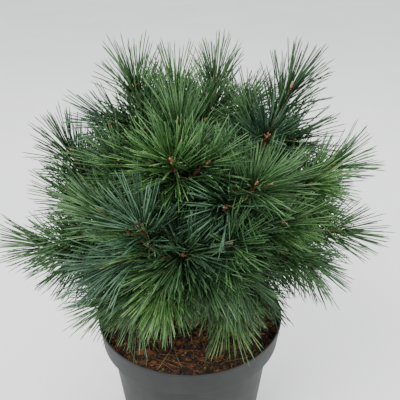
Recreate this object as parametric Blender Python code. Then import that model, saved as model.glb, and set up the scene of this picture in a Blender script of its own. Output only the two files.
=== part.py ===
"""A dwarf white pine in its nursery pot, as separate closed solids in metres, +Z up.

The origin is the centre of the pot's flat underside, and the front of the plant faces -Y.
Each mass of foliage is one leading shoot and the whorl of side shoots round its foot. It stands on its
own bough, or on the top of the trunk, and keeps to the space nearest to its own shoots.
"""

import math
import random
from collections import namedtuple

import bmesh
import bpy
import numpy as np

# Pot, turned about Z
POT_HEIGHT = 0.180
POT_RIM_RADIUS = 0.1125
POT_COLLAR_HEIGHT = 0.031
POT_COLLAR_FOOT_RADIUS = 0.1093
POT_BODY_TOP_RADIUS = 0.0995
POT_BASE_RADIUS = 0.084
POT_WALL = 0.0020
POT_FLOOR = 0.0025
POT_EDGE_ROUND = 0.0012
POT_INNER_STEP_FOOT = 0.002
POT_INNER_STEP_TOP = 0.004
POT_SIDES = 36
DRAIN_HOLES = 4
DRAIN_HOLE_SIDES = 8
DRAIN_HOLE_RADIUS = 0.006
DRAIN_HOLE_CIRCLE = 0.060

# Soil in the pot, a low mound with a level patch round the trunk
SOIL_LEVEL = 0.171
SOIL_MOUND = 0.003
SOIL_PATCH_RADIUS = 0.022
SOIL_SHOULDER_SHARE = 0.7
SOIL_SHOULDER_DROP = 0.2
SOIL_GAP = 0.0003
SOIL_STEP_GAP = 0.0005

# An axis that is all but upright, so that a level direction across it is known
UPRIGHT = np.array((1e-9, 0.0, 1.0))
NEARLY_UPRIGHT = 0.9999

# Points nearer than this are one point
MERGE = 1e-6

# Angles between faces, in degrees, above which an edge stays sharp
POT_SHARP = 30.0
TRUNK_SHARP = 40.0
BOUGH_SHARP = 60.0

# Trunk and boughs
PIECE_GAP = 0.0003
TRUNK_SIDES = 10
TRUNK_RINGS = 11
TRUNK_FLARE_RADIUS = 0.0165
TRUNK_FLARE_HEIGHT = 0.012
TRUNK_FOOT_RADIUS = 0.0092
TRUNK_LOBES = 5
TRUNK_LOBE_DEPTH = 0.16
BOUGH_SIDES = 5
BOUGH_RINGS = 7
BOUGH_ROOT_SHARE = 0.45
BOUGH_LEAST_RADIUS = 0.0027
BOUGH_ROOT_PITCH = 38.0
BOUGH_ROOT_PULL = 0.7
BOUGH_END_PULL = 0.9
BOUGH_LOWEST_ROOT = 0.193
BOUGH_ROOT_STEP = 0.0058
SHOOT_ROOT_RADIUS = 0.0026

# Shoots
STEM_BELOW_WHORL = 0.014
SIDE_SHOOT_LENGTH = 0.88
SIDE_SHOOT_FORK = 50.0
SIDE_SHOOT_JITTER = 6.0
SIDE_SHOOT_FOOT_RADIUS = 0.0013
SHOOT_TIP_RADIUS = 0.0020
BUD_LENGTH = 0.008
SEED = 27

# Sprays of needles: toothed blades in tiers round each shoot, with closed-in ones near the bud
SHOOT_SIDES = 3
TIER_PLACES = (0.36, 0.64, 0.90)
TIER_ANGLES = (72.0, 46.0, 19.0)
TIER_HEIGHT = 0.0030
NEEDLE_LENGTH = 0.068
NEEDLE_LENGTH_JITTER = 0.08
SPRAY_TEETH = 5
SPRAY_FAN = 21.0
SPRAY_NOTCH = 0.40
SPRAY_OUTER_SHORTER = 0.07
SPRAY_LIFT = 0.035
SPRAY_AIM_JITTER = 7.0
SHORTEST_SPRAY = 0.40
SPACE_MARGIN = 0.0010
SIBLING_MARGIN = 0.0004
LIMB_MARGIN = 0.0010
POT_MARGIN = 0.0012
CHECK_FROM = 0.22
CHECKS = 12
SHORTENING = 0.93

# tip: the leading bud, in metres. bearing: where the leader points, in degrees from +X towards +Y.
# pitch: its angle above level. leader: its length. sides: the side shoots' places round it, in degrees,
# each with its length as a share of the leader. The first row stands on the trunk's top, and the boughs
# of the others leave the trunk one above the other in the order of the rows.
Mass = namedtuple("Mass", "name tip bearing pitch leader sides")
MASSES = (
    Mass("crown_top", (-0.014, 0.030, 0.452), 100, 84, 0.064, ((60, 0.8), (180, 0.8), (300, 0.8))),
    Mass("left_low", (-0.090, -0.068, 0.242), 212, -10, 0.050, ((60, 0.9), (300, 0.7), (180, 0.8))),
    Mass("back_low", (-0.014, 0.128, 0.262), 95, -4, 0.055, ((180, 0.9), (20, 0.8))),
    Mass("back_low_left", (-0.116, 0.058, 0.256), 155, -4, 0.056, ((0, 0.9), (200, 0.8))),
    Mass("back_low_right", (0.104, 0.074, 0.262), 36, -4, 0.056, ((0, 0.9), (200, 0.8))),
    Mass("front_droop", (0.043, -0.078, 0.232), 276, -38, 0.045, ((40, 0.9), (120, 0.9))),
    Mass("far_left", (-0.167, -0.036, 0.296), 182, 8, 0.066, ((180, 0.7), (20, 0.7))),
    Mass("front_centre", (0.040, -0.128, 0.356), 285, 38, 0.050, ((283, 0.9), (20, 0.8))),
    Mass("front_right", (0.110, -0.074, 0.304), 320, 8, 0.055, ((219, 1.0), (330, 0.8))),
    Mass("front_low", (-0.023, -0.127, 0.297), 265, -2, 0.048, ((10, 0.9), (190, 0.9), (270, 0.7))),
    Mass("right_low", (0.171, -0.022, 0.306), 352, 8, 0.068, ((240, 0.8), (70, 0.8))),
    Mass("inner", (0.006, -0.056, 0.340), 272, 60, 0.052, ((0, 0.9), (180, 0.9), (90, 0.8))),
    Mass("left_mid", (-0.120, -0.038, 0.354), 176, 34, 0.055, ((200, 0.9), (310, 0.9))),
    Mass("left", (-0.083, -0.101, 0.376), 165, 33, 0.066, ((298, 0.9), (50, 0.8))),
    Mass("right_back", (0.150, 0.052, 0.330), 20, 18, 0.058, ((60, 0.8), (250, 0.8))),
    Mass("back_left", (-0.092, 0.102, 0.362), 132, 40, 0.058, ((20, 0.9), (250, 0.9), (140, 0.8))),
    Mass("right_centre", (0.096, -0.078, 0.347), 322, 26, 0.052, ((110, 0.9), (300, 0.7))),
    Mass("back_right", (0.096, 0.096, 0.372), 46, 42, 0.058, ((170, 0.9), (290, 0.9), (50, 0.8))),
    Mass("left_upper", (-0.133, 0.016, 0.388), 168, 60, 0.060, ((200, 0.9), (20, 0.8))),
    Mass("front", (-0.003, -0.140, 0.351), 268, 26, 0.052, ((138, 1.1), (320, 0.8), (230, 0.8))),
    Mass("right_upper", (0.158, -0.010, 0.381), 5, 28, 0.070, ((163, 0.95), (25, 0.8), (260, 0.7))),
    Mass("back", (0.000, 0.140, 0.372), 90, 40, 0.058, ((10, 0.9), (180, 0.9), (270, 0.7))),
    Mass("right_front", (0.062, -0.116, 0.410), 290, 48, 0.052, ((110, 0.8), (200, 0.9), (20, 0.8))),
    Mass("left_centre", (-0.070, -0.058, 0.406), 190, 50, 0.054, ((60, 0.9), (300, 0.8))),
    Mass("top_right", (0.107, 0.012, 0.461), 20, 66, 0.078, ((30, 0.7), (250, 0.6), (140, 0.6))),
    Mass("top_front", (-0.008, -0.062, 0.449), 100, 80, 0.064, ((125, 0.9), (74, 0.95), (10, 0.7))),
    Mass("top_back", (0.030, 0.074, 0.452), 80, 76, 0.068, ((188, 0.9), (300, 0.9), (60, 0.8))),
    Mass("centre", (0.030, -0.098, 0.386), 285, 40, 0.050, ((200, 0.9), (90, 0.7))),
    Mass("top_left", (-0.054, 0.005, 0.465), 180, 78, 0.068, ((306, 0.9), (5, 1.0), (165, 0.8))),
)

# Colours as linear red, green and blue, with roughness
FINISHES = {
    "pot": ((0.040, 0.043, 0.046), 0.55),
    "soil": ((0.045, 0.023, 0.011), 0.95),
    "bark": ((0.090, 0.048, 0.027), 0.85),
    "needles": ((0.026, 0.095, 0.030), 0.55),
}


def clear_scene():
    """Remove whatever the scene holds."""
    for thing in list(bpy.data.objects):
        bpy.data.objects.remove(thing, do_unlink=True)


def finish(name):
    """The Principled material of one finish."""
    material = bpy.data.materials.get(name) or bpy.data.materials.new(name)
    colour, roughness = FINISHES[name]
    material.use_nodes = True
    shader = material.node_tree.nodes["Principled BSDF"]
    shader.inputs["Base Color"].default_value = (*colour, 1.0)
    shader.inputs["Roughness"].default_value = roughness
    shader.inputs["Metallic"].default_value = 0.0
    return material


def add_object(name, points, faces, collection=None):
    """A mesh object from points and faces, with its faces pointing out."""
    mesh = bpy.data.meshes.new(name)
    mesh.from_pydata([tuple(point) for point in points], [], faces)
    shaped = bmesh.new()
    shaped.from_mesh(mesh)
    bmesh.ops.recalc_face_normals(shaped, faces=shaped.faces)
    shaped.to_mesh(mesh)
    shaped.free()
    thing = bpy.data.objects.new(name, mesh)
    (collection or bpy.context.scene.collection).objects.link(thing)
    return thing


def unit(vector):
    """The vector at length one."""
    return np.asarray(vector, float) / np.linalg.norm(vector)


def direction(bearing, pitch):
    """The unit vector at a bearing from +X towards +Y and a pitch above level, in degrees."""
    turn, rise = math.radians(bearing), math.radians(pitch)
    return np.array((math.cos(rise) * math.cos(turn), math.cos(rise) * math.sin(turn), math.sin(rise)))


def frame_across(axis):
    """Two unit vectors across an axis: the first is level, and the second is the upper one."""
    level = unit(np.cross((0.0, 0.0, 1.0), axis))
    return level, np.cross(axis, level)


def around(axis, roll):
    """The unit vector across an axis at a roll in degrees."""
    level, upper = frame_across(axis)
    turn = math.radians(roll)
    return math.cos(turn) * level + math.sin(turn) * upper


def loft(rings):
    """Points and faces of a closed limb through rings of points, with two flat ends."""
    count = len(rings[0])
    points = [point for ring in rings for point in ring]
    faces = [tuple(range(count))]
    for ring in range(len(rings) - 1):
        low, high = ring * count, (ring + 1) * count
        faces += [
            (low + side, low + (side + 1) % count, high + (side + 1) % count, high + side)
            for side in range(count)
        ]
    last = (len(rings) - 1) * count
    faces.append(tuple(last + side for side in range(count)))
    return points, faces


def ring_about(centre, axis, radius, sides, roll=0.0):
    """Points round an axis, the first at a roll in degrees."""
    level, upper = frame_across(axis)
    turns = math.radians(roll) + 2 * math.pi * np.arange(sides) / sides
    return list(centre + radius * (np.cos(turns)[:, None] * level + np.sin(turns)[:, None] * upper))


def hermite(start, start_tangent, end, end_tangent, steps):
    """Points and unit tangents along a curve between two points with given tangents."""
    share = np.linspace(0, 1, steps)[:, None]
    squared, cubed = share**2, share**3
    path = (
        (2 * cubed - 3 * squared + 1) * start
        + (cubed - 2 * squared + share) * start_tangent
        + (3 * squared - 2 * cubed) * end
        + (cubed - squared) * end_tangent
    )
    slope = (
        (6 * squared - 6 * share) * (start - end)
        + (3 * squared - 4 * share + 1) * start_tangent
        + (3 * squared - 2 * share) * end_tangent
    )
    return path, slope / np.linalg.norm(slope, axis=1)[:, None]


def distance_to_segments(points, starts, ends):
    """The least distance from each point to a set of segments."""
    run = ends - starts
    length = np.maximum((run**2).sum(1), 1e-12)
    share = ((points[:, None] - starts) * run).sum(2) / length
    near = starts + np.clip(share, 0, 1)[..., None] * run
    return np.sqrt(((points[:, None] - near) ** 2).sum(2)).min(1)


class Shoot:
    """A straight shoot from its foot to its bud, with the draws that set its sprays of needles."""

    def __init__(self, foot, tip, foot_radius, chance):
        self.foot = np.asarray(foot, float)
        self.tip = np.asarray(tip, float)
        self.foot_radius = foot_radius
        self.roll = chance.uniform(0, 360)
        self.axis = unit(self.tip - self.foot)
        self.length = np.linalg.norm(self.tip - self.foot)
        self.draws = [
            [[chance.uniform(-1, 1) for _ in range(3)] for _ in range(SHOOT_SIDES)] for _ in TIER_PLACES
        ]


class Branch:
    """A mass of foliage worked out from its row: its stem, its leader and its side shoots."""

    def __init__(self, row):
        chance = random.Random(f"{SEED} {row.name}")
        self.name = row.name
        self.axis = direction(row.bearing, row.pitch)
        tip = np.array(row.tip)
        self.whorl = tip - row.leader * self.axis
        self.stem = self.whorl - STEM_BELOW_WHORL * self.axis
        self.shoots = [Shoot(self.stem, tip, SHOOT_ROOT_RADIUS, chance)]
        for roll, share in row.sides:
            turned = roll + chance.uniform(-SIDE_SHOOT_JITTER, SIDE_SHOOT_JITTER)
            fork = math.radians(SIDE_SHOOT_FORK + chance.uniform(-SIDE_SHOOT_JITTER, SIDE_SHOOT_JITTER))
            aim = math.cos(fork) * self.axis + math.sin(fork) * around(self.axis, turned)
            end = self.whorl + row.leader * share * SIDE_SHOOT_LENGTH * aim
            self.shoots.append(Shoot(self.whorl, end, SIDE_SHOOT_FOOT_RADIUS, chance))
        self.starts = np.array([shoot.foot for shoot in self.shoots])
        self.ends = np.array([shoot.tip for shoot in self.shoots])


class Limb:
    """The trunk or a bough: a path with a radius at each point."""

    def __init__(self, name, path, tangents, radii):
        self.name = name
        self.path = path
        self.tangents = tangents
        self.radii = radii

    def clearance(self, points):
        """How far each point lies from the limb's surface."""
        reach = distance_to_segments(points, self.path[:-1], self.path[1:])
        nearest = np.abs(points[:, None] - self.path[None]).sum(2).argmin(1)
        return reach - self.radii[nearest]


def trunk_limb(branch):
    """The trunk, from its flat cut on the soil to the foot of the topmost mass."""
    foot = np.array((0.0, 0.0, SOIL_LEVEL + PIECE_GAP))
    top = branch.stem - PIECE_GAP * branch.axis
    height = top[2] - foot[2]
    path, tangents = hermite(foot, np.array((0, 0, height)), top, height * branch.axis, TRUNK_RINGS)
    tangents[0] = (0, 0, 1)
    rise = path[:, 2] - foot[2]
    taper = TRUNK_FOOT_RADIUS + (SHOOT_ROOT_RADIUS - TRUNK_FOOT_RADIUS) * rise / height
    flare = (TRUNK_FLARE_RADIUS - TRUNK_FOOT_RADIUS) * np.exp(-rise / TRUNK_FLARE_HEIGHT)
    return Limb("trunk", path, tangents, taper + flare)


def bough_limb(branch, trunk, place):
    """A bough from its place on the trunk's axis to the stem of its mass."""
    height = BOUGH_LOWEST_ROOT + place * BOUGH_ROOT_STEP
    root = np.array([np.interp(height, trunk.path[:, 2], trunk.path[:, axis]) for axis in range(3)])
    end = branch.stem - PIECE_GAP * branch.axis
    out = end - root
    reach = np.linalg.norm(out)
    bearing = math.degrees(math.atan2(out[1], out[0]))
    start_tangent = BOUGH_ROOT_PULL * reach * direction(bearing, BOUGH_ROOT_PITCH)
    end_tangent = BOUGH_END_PULL * reach * branch.axis
    path, tangents = hermite(root, start_tangent, end, end_tangent, BOUGH_RINGS)
    trunk_radius = np.interp(height, trunk.path[:, 2], trunk.radii)
    root_radius = max(BOUGH_ROOT_SHARE * trunk_radius, BOUGH_LEAST_RADIUS)
    radii = np.linspace(root_radius, SHOOT_ROOT_RADIUS, BOUGH_RINGS)
    return Limb(f"bough_{branch.name}", path, tangents, radii)


def inside_pot_or_soil(points):
    """Whether any point lies too near the pot's wall or the soil, or under the rim outside the pot."""
    radius = np.hypot(points[:, 0], points[:, 1])
    rim_inside = POT_RIM_RADIUS - POT_WALL - POT_MARGIN
    rim_outside = POT_RIM_RADIUS + POT_MARGIN
    in_soil = (radius <= rim_inside) & (points[:, 2] < SOIL_LEVEL + SOIL_MOUND + POT_MARGIN)
    on_rim = (radius > rim_inside) & (radius < rim_outside) & (points[:, 2] < POT_HEIGHT + POT_MARGIN)
    return bool((in_soil | on_rim).any())


def spray_points(root, aim, across, lift, length):
    """The tips and notches of a toothed blade, in order round its outline."""
    outline = []
    for place in range(2 * SPRAY_TEETH - 1):
        share = place / (2 * SPRAY_TEETH - 2) * 2 - 1
        turn = math.radians(SPRAY_FAN * share)
        heading = math.cos(turn) * aim + math.sin(turn) * across
        tooth = place % 2 == 0
        reach = length * ((1.0 - SPRAY_OUTER_SHORTER * abs(share)) if tooth else SPRAY_NOTCH)
        raised = length * SPRAY_LIFT * (1 if place % 4 == 0 else -1) if tooth else 0.0
        outline.append(root + reach * heading + raised * lift)
    return np.array(outline)


def spray_outline(shoot, root, out, angle, draws, keeps_clear):
    """The outline of the longest blade from a root that keeps clear of all else, or None."""
    stray = math.radians(SPRAY_AIM_JITTER * angle / TIER_ANGLES[0])
    lean = math.radians(angle) + stray * draws[0]
    turn = stray * draws[1]
    across = np.cross(shoot.axis, out)
    aim = math.cos(lean) * shoot.axis + math.sin(lean) * out
    aim = math.cos(turn) * aim + math.sin(turn) * across
    across = unit(across - np.dot(across, aim) * aim)
    lift = np.cross(aim, across)
    length = NEEDLE_LENGTH * (1 + NEEDLE_LENGTH_JITTER * draws[2])
    reach = np.linspace(CHECK_FROM, 1, CHECKS)[:, None, None]
    while length > SHORTEST_SPRAY * NEEDLE_LENGTH:
        outline = spray_points(root, aim, across, lift, length)
        if keeps_clear((root + reach * (outline - root)).reshape(-1, 3)):
            return outline
        length *= SHORTENING
    return None


def spray_faces(corners, first):
    """The faces of a wedge from four root corners, two low and two high, to an outline from a first point."""
    low_left, low_right, high_left, high_right = corners
    last = first + 2 * SPRAY_TEETH - 2
    middle = (first + last) // 2
    faces = [(high_left, low_left, first), (low_right, high_right, last)]
    for left, right, step in ((high_left, high_right, 1), (low_left, low_right, -1)):
        fan = [(left, point, point + 1) for point in range(first, middle)]
        fan.append((left, middle, right))
        fan += [(right, point, point + 1) for point in range(middle, last)]
        faces += [face[::step] for face in fan]
    return faces


def shoot_solid(shoot, keeps_clear, name, collection=None):
    """A flat-sided shoot that narrows to a pointed bud, with sprays grown from its sides in tiers."""
    sides = SHOOT_SIDES
    points, faces = [], []

    def add_ring(distance, radius, roll):
        points.extend(ring_about(shoot.foot + distance * shoot.axis, shoot.axis, radius, sides, roll))
        return range(len(points) - sides, len(points))

    below = add_ring(0.0, shoot.foot_radius, shoot.roll)
    faces.append(tuple(below))
    for tier, (place, angle) in enumerate(zip(TIER_PLACES, TIER_ANGLES)):
        roll = shoot.roll + tier * 180 / sides
        height = place * (shoot.length - BUD_LENGTH)
        low = add_ring(height - TIER_HEIGHT / 2, SHOOT_TIP_RADIUS, roll)
        high = add_ring(height + TIER_HEIGHT / 2, SHOOT_TIP_RADIUS, roll)
        for side in range(sides):
            step = (side + 1) % sides
            faces += [(below[side], below[step], low[side]), (below[step], low[step], low[side])]
            corners = (low[side], low[step], high[side], high[step])
            root = sum(points[corner] for corner in corners) / 4
            out = around(shoot.axis, roll + (side + 0.5) * 360 / sides)
            outline = spray_outline(shoot, root, out, angle, shoot.draws[tier][side], keeps_clear)
            if outline is None:
                faces.append((low[side], low[step], high[step], high[side]))
            else:
                faces += spray_faces(corners, len(points))
                points.extend(outline)
        below = high
    points.append(shoot.tip)
    faces += [(below[side], below[(side + 1) % sides], len(points) - 1) for side in range(sides)]
    return add_object(name, points, faces, collection)


def largest_shell(thing):
    """Keep the outer shell of the largest piece, and drop loose scraps and sealed hollows."""
    shaped = bmesh.new()
    shaped.from_mesh(thing.data)
    bmesh.ops.remove_doubles(shaped, verts=shaped.verts, dist=MERGE)
    bmesh.ops.dissolve_degenerate(shaped, edges=shaped.edges, dist=MERGE)
    left = set(shaped.verts)
    shells = []
    while left:
        shell, waiting = set(), [left.pop()]
        while waiting:
            vert = waiting.pop()
            shell.add(vert)
            for edge in vert.link_edges:
                other = edge.other_vert(vert)
                if other in left:
                    left.discard(other)
                    waiting.append(other)
        shells.append(shell)
    shells.sort(key=len)
    for shell in shells[:-1]:
        bmesh.ops.delete(shaped, geom=list(shell), context="VERTS")
    bmesh.ops.triangulate(shaped, faces=shaped.faces)
    shaped.to_mesh(thing.data)
    shaped.free()


def apply_boolean(thing, operation, operand, solver="EXACT"):
    """Join or cut an object with another object or with a collection, and keep only the result."""
    change = thing.modifiers.new("change", "BOOLEAN")
    change.operation = operation
    change.solver = solver
    if isinstance(operand, bpy.types.Collection):
        change.operand_type = "COLLECTION"
        change.collection = operand
    else:
        change.object = operand
    with bpy.context.temp_override(object=thing, active_object=thing):
        bpy.ops.object.modifier_apply(modifier=change.name)


def drop(things):
    """Remove helper objects with their meshes."""
    for thing in list(things):
        mesh = thing.data
        bpy.data.objects.remove(thing, do_unlink=True)
        bpy.data.meshes.remove(mesh)


def build_mass(branch, branches, limbs):
    """One mass of foliage: its leader and side shoots, each with its sprays, joined into one solid."""
    others = [one for one in branches if one is not branch]
    starts = np.concatenate([one.starts for one in others])
    ends = np.concatenate([one.ends for one in others])

    def space_of(number):
        own_start, own_end = branch.starts[number : number + 1], branch.ends[number : number + 1]
        kin_starts = np.delete(branch.starts, number, axis=0)
        kin_ends = np.delete(branch.ends, number, axis=0)

        def keeps_clear(points):
            own = distance_to_segments(points, own_start, own_end)
            if (distance_to_segments(points, starts, ends) - own < 2 * SPACE_MARGIN).any():
                return False
            if len(kin_starts):
                kin = distance_to_segments(points, kin_starts, kin_ends)
                if (kin - own < 2 * SIBLING_MARGIN).any():
                    return False
            if inside_pot_or_soil(points):
                return False
            return all((limb.clearance(points) > LIMB_MARGIN).all() for limb in limbs)

        return keeps_clear

    helpers = bpy.data.collections.new("helpers")
    bpy.context.scene.collection.children.link(helpers)
    mass = shoot_solid(branch.shoots[0], space_of(0), branch.name)
    for number, shoot in enumerate(branch.shoots[1:], 1):
        shoot_solid(shoot, space_of(number), f"{branch.name}_side_{number}", helpers)
    if len(helpers.objects):
        apply_boolean(mass, "UNION", helpers, "MANIFOLD")
        drop(helpers.objects)
    bpy.data.collections.remove(helpers)
    largest_shell(mass)
    mass.data.materials.clear()
    mass.data.materials.append(finish("needles"))


def limb_solid(limb, sides, extra=0.0, lobed=False):
    """A limb as a closed solid, or one grown by a little for cutting its neighbours."""
    rings = []
    for place, (centre, axis, radius) in enumerate(zip(limb.path, limb.tangents, limb.radii)):
        if abs(axis[2]) > NEARLY_UPRIGHT:
            axis = UPRIGHT
        ring = np.array(ring_about(centre, unit(axis), radius + extra, sides))
        if lobed:
            turns = 2 * math.pi * np.arange(sides) / sides
            depth = TRUNK_LOBE_DEPTH * math.exp(-place)
            ring = centre + (ring - centre) * (1 + depth * np.cos(TRUNK_LOBES * turns))[:, None]
        rings.append(list(ring))
    return add_object(limb.name, *loft(rings))


def smooth(thing, angle):
    """Shade a round piece smooth, with its true edges sharp."""
    thing.data.shade_smooth()
    thing.data.set_sharp_from_angle(angle=math.radians(angle))


def build_limbs(trunk, boughs):
    """The trunk, and each bough cut to meet the trunk's side."""
    body = limb_solid(trunk, TRUNK_SIDES, lobed=True)
    cutter = limb_solid(trunk, TRUNK_SIDES, PIECE_GAP, lobed=True)
    body.data.materials.append(finish("bark"))
    smooth(body, TRUNK_SHARP)
    for limb in boughs:
        bough = limb_solid(limb, BOUGH_SIDES)
        apply_boolean(bough, "DIFFERENCE", cutter)
        largest_shell(bough)
        bough.data.materials.append(finish("bark"))
        smooth(bough, BOUGH_SHARP)
    drop([cutter])


def turned(name, profile, sides):
    """A solid turned about Z from a closed profile of radius and height, listed from the inside round."""
    points, faces = [], []
    for radius, height in profile:
        points += ring_about(np.array((0, 0, height)), UPRIGHT, radius, sides)
    rows = len(profile)
    for row in range(rows - 1):
        low, high = row * sides, (row + 1) * sides
        faces += [
            (low + side, low + (side + 1) % sides, high + (side + 1) % sides, high + side)
            for side in range(sides)
        ]
    faces.append(tuple(range(sides)))
    faces.append(tuple((rows - 1) * sides + side for side in range(sides)))
    return add_object(name, points, faces)


def wall_radius(height):
    """The outer radius of the pot's tapering body."""
    body_top = POT_HEIGHT - POT_COLLAR_HEIGHT
    return POT_BASE_RADIUS + (POT_BODY_TOP_RADIUS - POT_BASE_RADIUS) * height / body_top


def build_pot():
    """The pot: a tapering body, a wider collar with a rolled edge, a flat floor and drain holes."""
    collar_foot = POT_HEIGHT - POT_COLLAR_HEIGHT
    body_top = wall_radius(collar_foot)
    edge = POT_EDGE_ROUND
    profile = [
        (POT_BASE_RADIUS - POT_WALL, POT_FLOOR),
        (body_top - POT_WALL, collar_foot + POT_INNER_STEP_FOOT),
        (POT_COLLAR_FOOT_RADIUS - POT_WALL, collar_foot + POT_INNER_STEP_TOP),
        (POT_RIM_RADIUS - POT_WALL, POT_HEIGHT - edge / 2),
        (POT_RIM_RADIUS - POT_WALL + edge / 2, POT_HEIGHT),
        (POT_RIM_RADIUS - edge / 2, POT_HEIGHT),
        (POT_RIM_RADIUS, POT_HEIGHT - edge),
        (POT_COLLAR_FOOT_RADIUS, collar_foot + edge),
        (POT_COLLAR_FOOT_RADIUS - edge, collar_foot),
        (body_top, collar_foot),
        (POT_BASE_RADIUS, edge),
        (POT_BASE_RADIUS - edge, 0.0),
    ]
    pot = turned("pot", profile, POT_SIDES)
    helpers = bpy.data.collections.new("drain_holes")
    bpy.context.scene.collection.children.link(helpers)
    for number in range(DRAIN_HOLES):
        turn = 2 * math.pi * (number + 0.5) / DRAIN_HOLES
        centre = np.array((DRAIN_HOLE_CIRCLE * math.cos(turn), DRAIN_HOLE_CIRCLE * math.sin(turn), 0))
        rings = [
            ring_about(centre + height * UPRIGHT, UPRIGHT, DRAIN_HOLE_RADIUS, DRAIN_HOLE_SIDES)
            for height in (-POT_FLOOR, 2 * POT_FLOOR)
        ]
        add_object(f"drain_{number}", *loft(rings), helpers)
    apply_boolean(pot, "DIFFERENCE", helpers)
    drop(helpers.objects)
    bpy.data.collections.remove(helpers)
    pot.data.materials.append(finish("pot"))
    smooth(pot, POT_SHARP)


def build_soil():
    """The soil: it fills the pot a hair clear of the wall, up to a low mound with a level middle."""
    collar_foot = POT_HEIGHT - POT_COLLAR_HEIGHT
    slope = (POT_RIM_RADIUS - POT_COLLAR_FOOT_RADIUS) / (POT_COLLAR_HEIGHT - POT_INNER_STEP_TOP)
    shoulder = collar_foot + POT_INNER_STEP_TOP + SOIL_GAP
    shoulder_radius = POT_COLLAR_FOOT_RADIUS - POT_WALL - SOIL_STEP_GAP
    top_radius = shoulder_radius + slope * (SOIL_LEVEL - SOIL_MOUND - shoulder)
    profile = [
        (POT_BASE_RADIUS - POT_WALL - SOIL_STEP_GAP, POT_FLOOR + SOIL_GAP),
        (wall_radius(collar_foot) - POT_WALL - SOIL_GAP, collar_foot + POT_INNER_STEP_FOOT + SOIL_GAP),
        (shoulder_radius, shoulder),
        (top_radius, SOIL_LEVEL - SOIL_MOUND),
        (SOIL_SHOULDER_SHARE * top_radius, SOIL_LEVEL - SOIL_SHOULDER_DROP * SOIL_MOUND),
        (SOIL_PATCH_RADIUS, SOIL_LEVEL),
    ]
    soil = turned("soil", profile, POT_SIDES)
    soil.data.materials.append(finish("soil"))
    smooth(soil, TRUNK_SHARP)


def build():
    """Every solid of the potted pine."""
    clear_scene()
    branches = [Branch(row) for row in MASSES]
    trunk = trunk_limb(branches[0])
    boughs = [bough_limb(branch, trunk, place) for place, branch in enumerate(branches[1:])]
    build_pot()
    build_soil()
    build_limbs(trunk, boughs)
    for branch in branches:
        build_mass(branch, branches, [trunk, *boughs])


build()
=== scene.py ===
"""The finished look of a dwarf white pine in its nursery pot.

The plant grows by the same seeded rule as its solids, in metres, with +Z up and the front towards -Y:
a trunk, one bough for each mass of foliage, and a leading shoot with side shoots at the end of each bough.
Here the rule goes on to finer twigs, to needles in bundles of five, to buds and to the bark's relief.
"""

import logging
import math
import random
from dataclasses import dataclass, field
from enum import Enum, IntEnum
from typing import NamedTuple

import bpy
import numpy as np
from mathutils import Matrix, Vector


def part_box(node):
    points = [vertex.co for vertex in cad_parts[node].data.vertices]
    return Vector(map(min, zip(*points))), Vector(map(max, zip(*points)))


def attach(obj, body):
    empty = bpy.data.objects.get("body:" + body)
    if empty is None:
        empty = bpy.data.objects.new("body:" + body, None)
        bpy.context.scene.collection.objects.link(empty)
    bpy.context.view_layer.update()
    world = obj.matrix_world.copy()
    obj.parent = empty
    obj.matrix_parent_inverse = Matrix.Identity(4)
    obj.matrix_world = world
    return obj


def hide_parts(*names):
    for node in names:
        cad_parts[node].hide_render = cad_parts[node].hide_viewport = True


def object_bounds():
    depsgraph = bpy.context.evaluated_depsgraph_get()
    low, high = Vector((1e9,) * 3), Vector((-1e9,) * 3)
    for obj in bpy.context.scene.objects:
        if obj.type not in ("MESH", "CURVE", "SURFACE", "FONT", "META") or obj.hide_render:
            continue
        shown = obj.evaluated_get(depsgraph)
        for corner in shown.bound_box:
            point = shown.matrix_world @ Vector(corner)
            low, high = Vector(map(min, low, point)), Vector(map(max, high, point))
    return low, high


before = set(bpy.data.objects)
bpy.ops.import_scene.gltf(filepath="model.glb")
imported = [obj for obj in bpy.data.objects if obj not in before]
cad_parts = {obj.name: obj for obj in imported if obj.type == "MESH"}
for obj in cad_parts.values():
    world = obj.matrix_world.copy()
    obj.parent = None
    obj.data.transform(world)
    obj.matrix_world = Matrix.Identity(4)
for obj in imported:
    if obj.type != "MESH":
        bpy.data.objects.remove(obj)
CAD_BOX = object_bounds()

Array = np.ndarray
MM = 0.001
GOLDEN_ANGLE = math.radians(137.508)
UPRIGHT = np.array((0.0, 0.0, 1.0))
LOG = logging.getLogger("potted_pine")

# An axis whose level part is shorter than the first counts as upright. One that rises more than the second
# is steep, and its rings start from +Y.
SHORTEST_LEVEL = 1e-6
STEEP = 0.9

# Odd factors and shifts that scramble a lattice corner's place into 16 even bits
CORNER_FACTORS = np.array((73856093, 19349663, 83492791), np.uint64)
SEED_FACTOR = 40503
SEED_OFFSET = 7
MIX_SHIFT = np.uint64(13)
MIX_FACTOR = np.uint64(1274126177)
VALUE_SHIFT = np.uint64(9)
VALUE_MASK = np.uint64(0xFFFF)
HALF_RANGE = 32767.5

# How far the noise of colour patches and of relief is broken up, and how strongly the relief shades
PATCH_DETAIL = 4.0
GRAIN_DETAIL = 3.0
RELIEF_STRENGTH = 0.8

# A quad's corners in the order that turns its face round
TURNED_ROUND = [0, 3, 2, 1]


class Row(NamedTuple):
    """One mass of foliage: its leader's bud, bearing, pitch and length, and its side shoots."""

    name: str
    tip: tuple[float, float, float]
    bearing: float
    pitch: float
    leader: float
    sides: tuple[tuple[float, float], ...]


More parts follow.
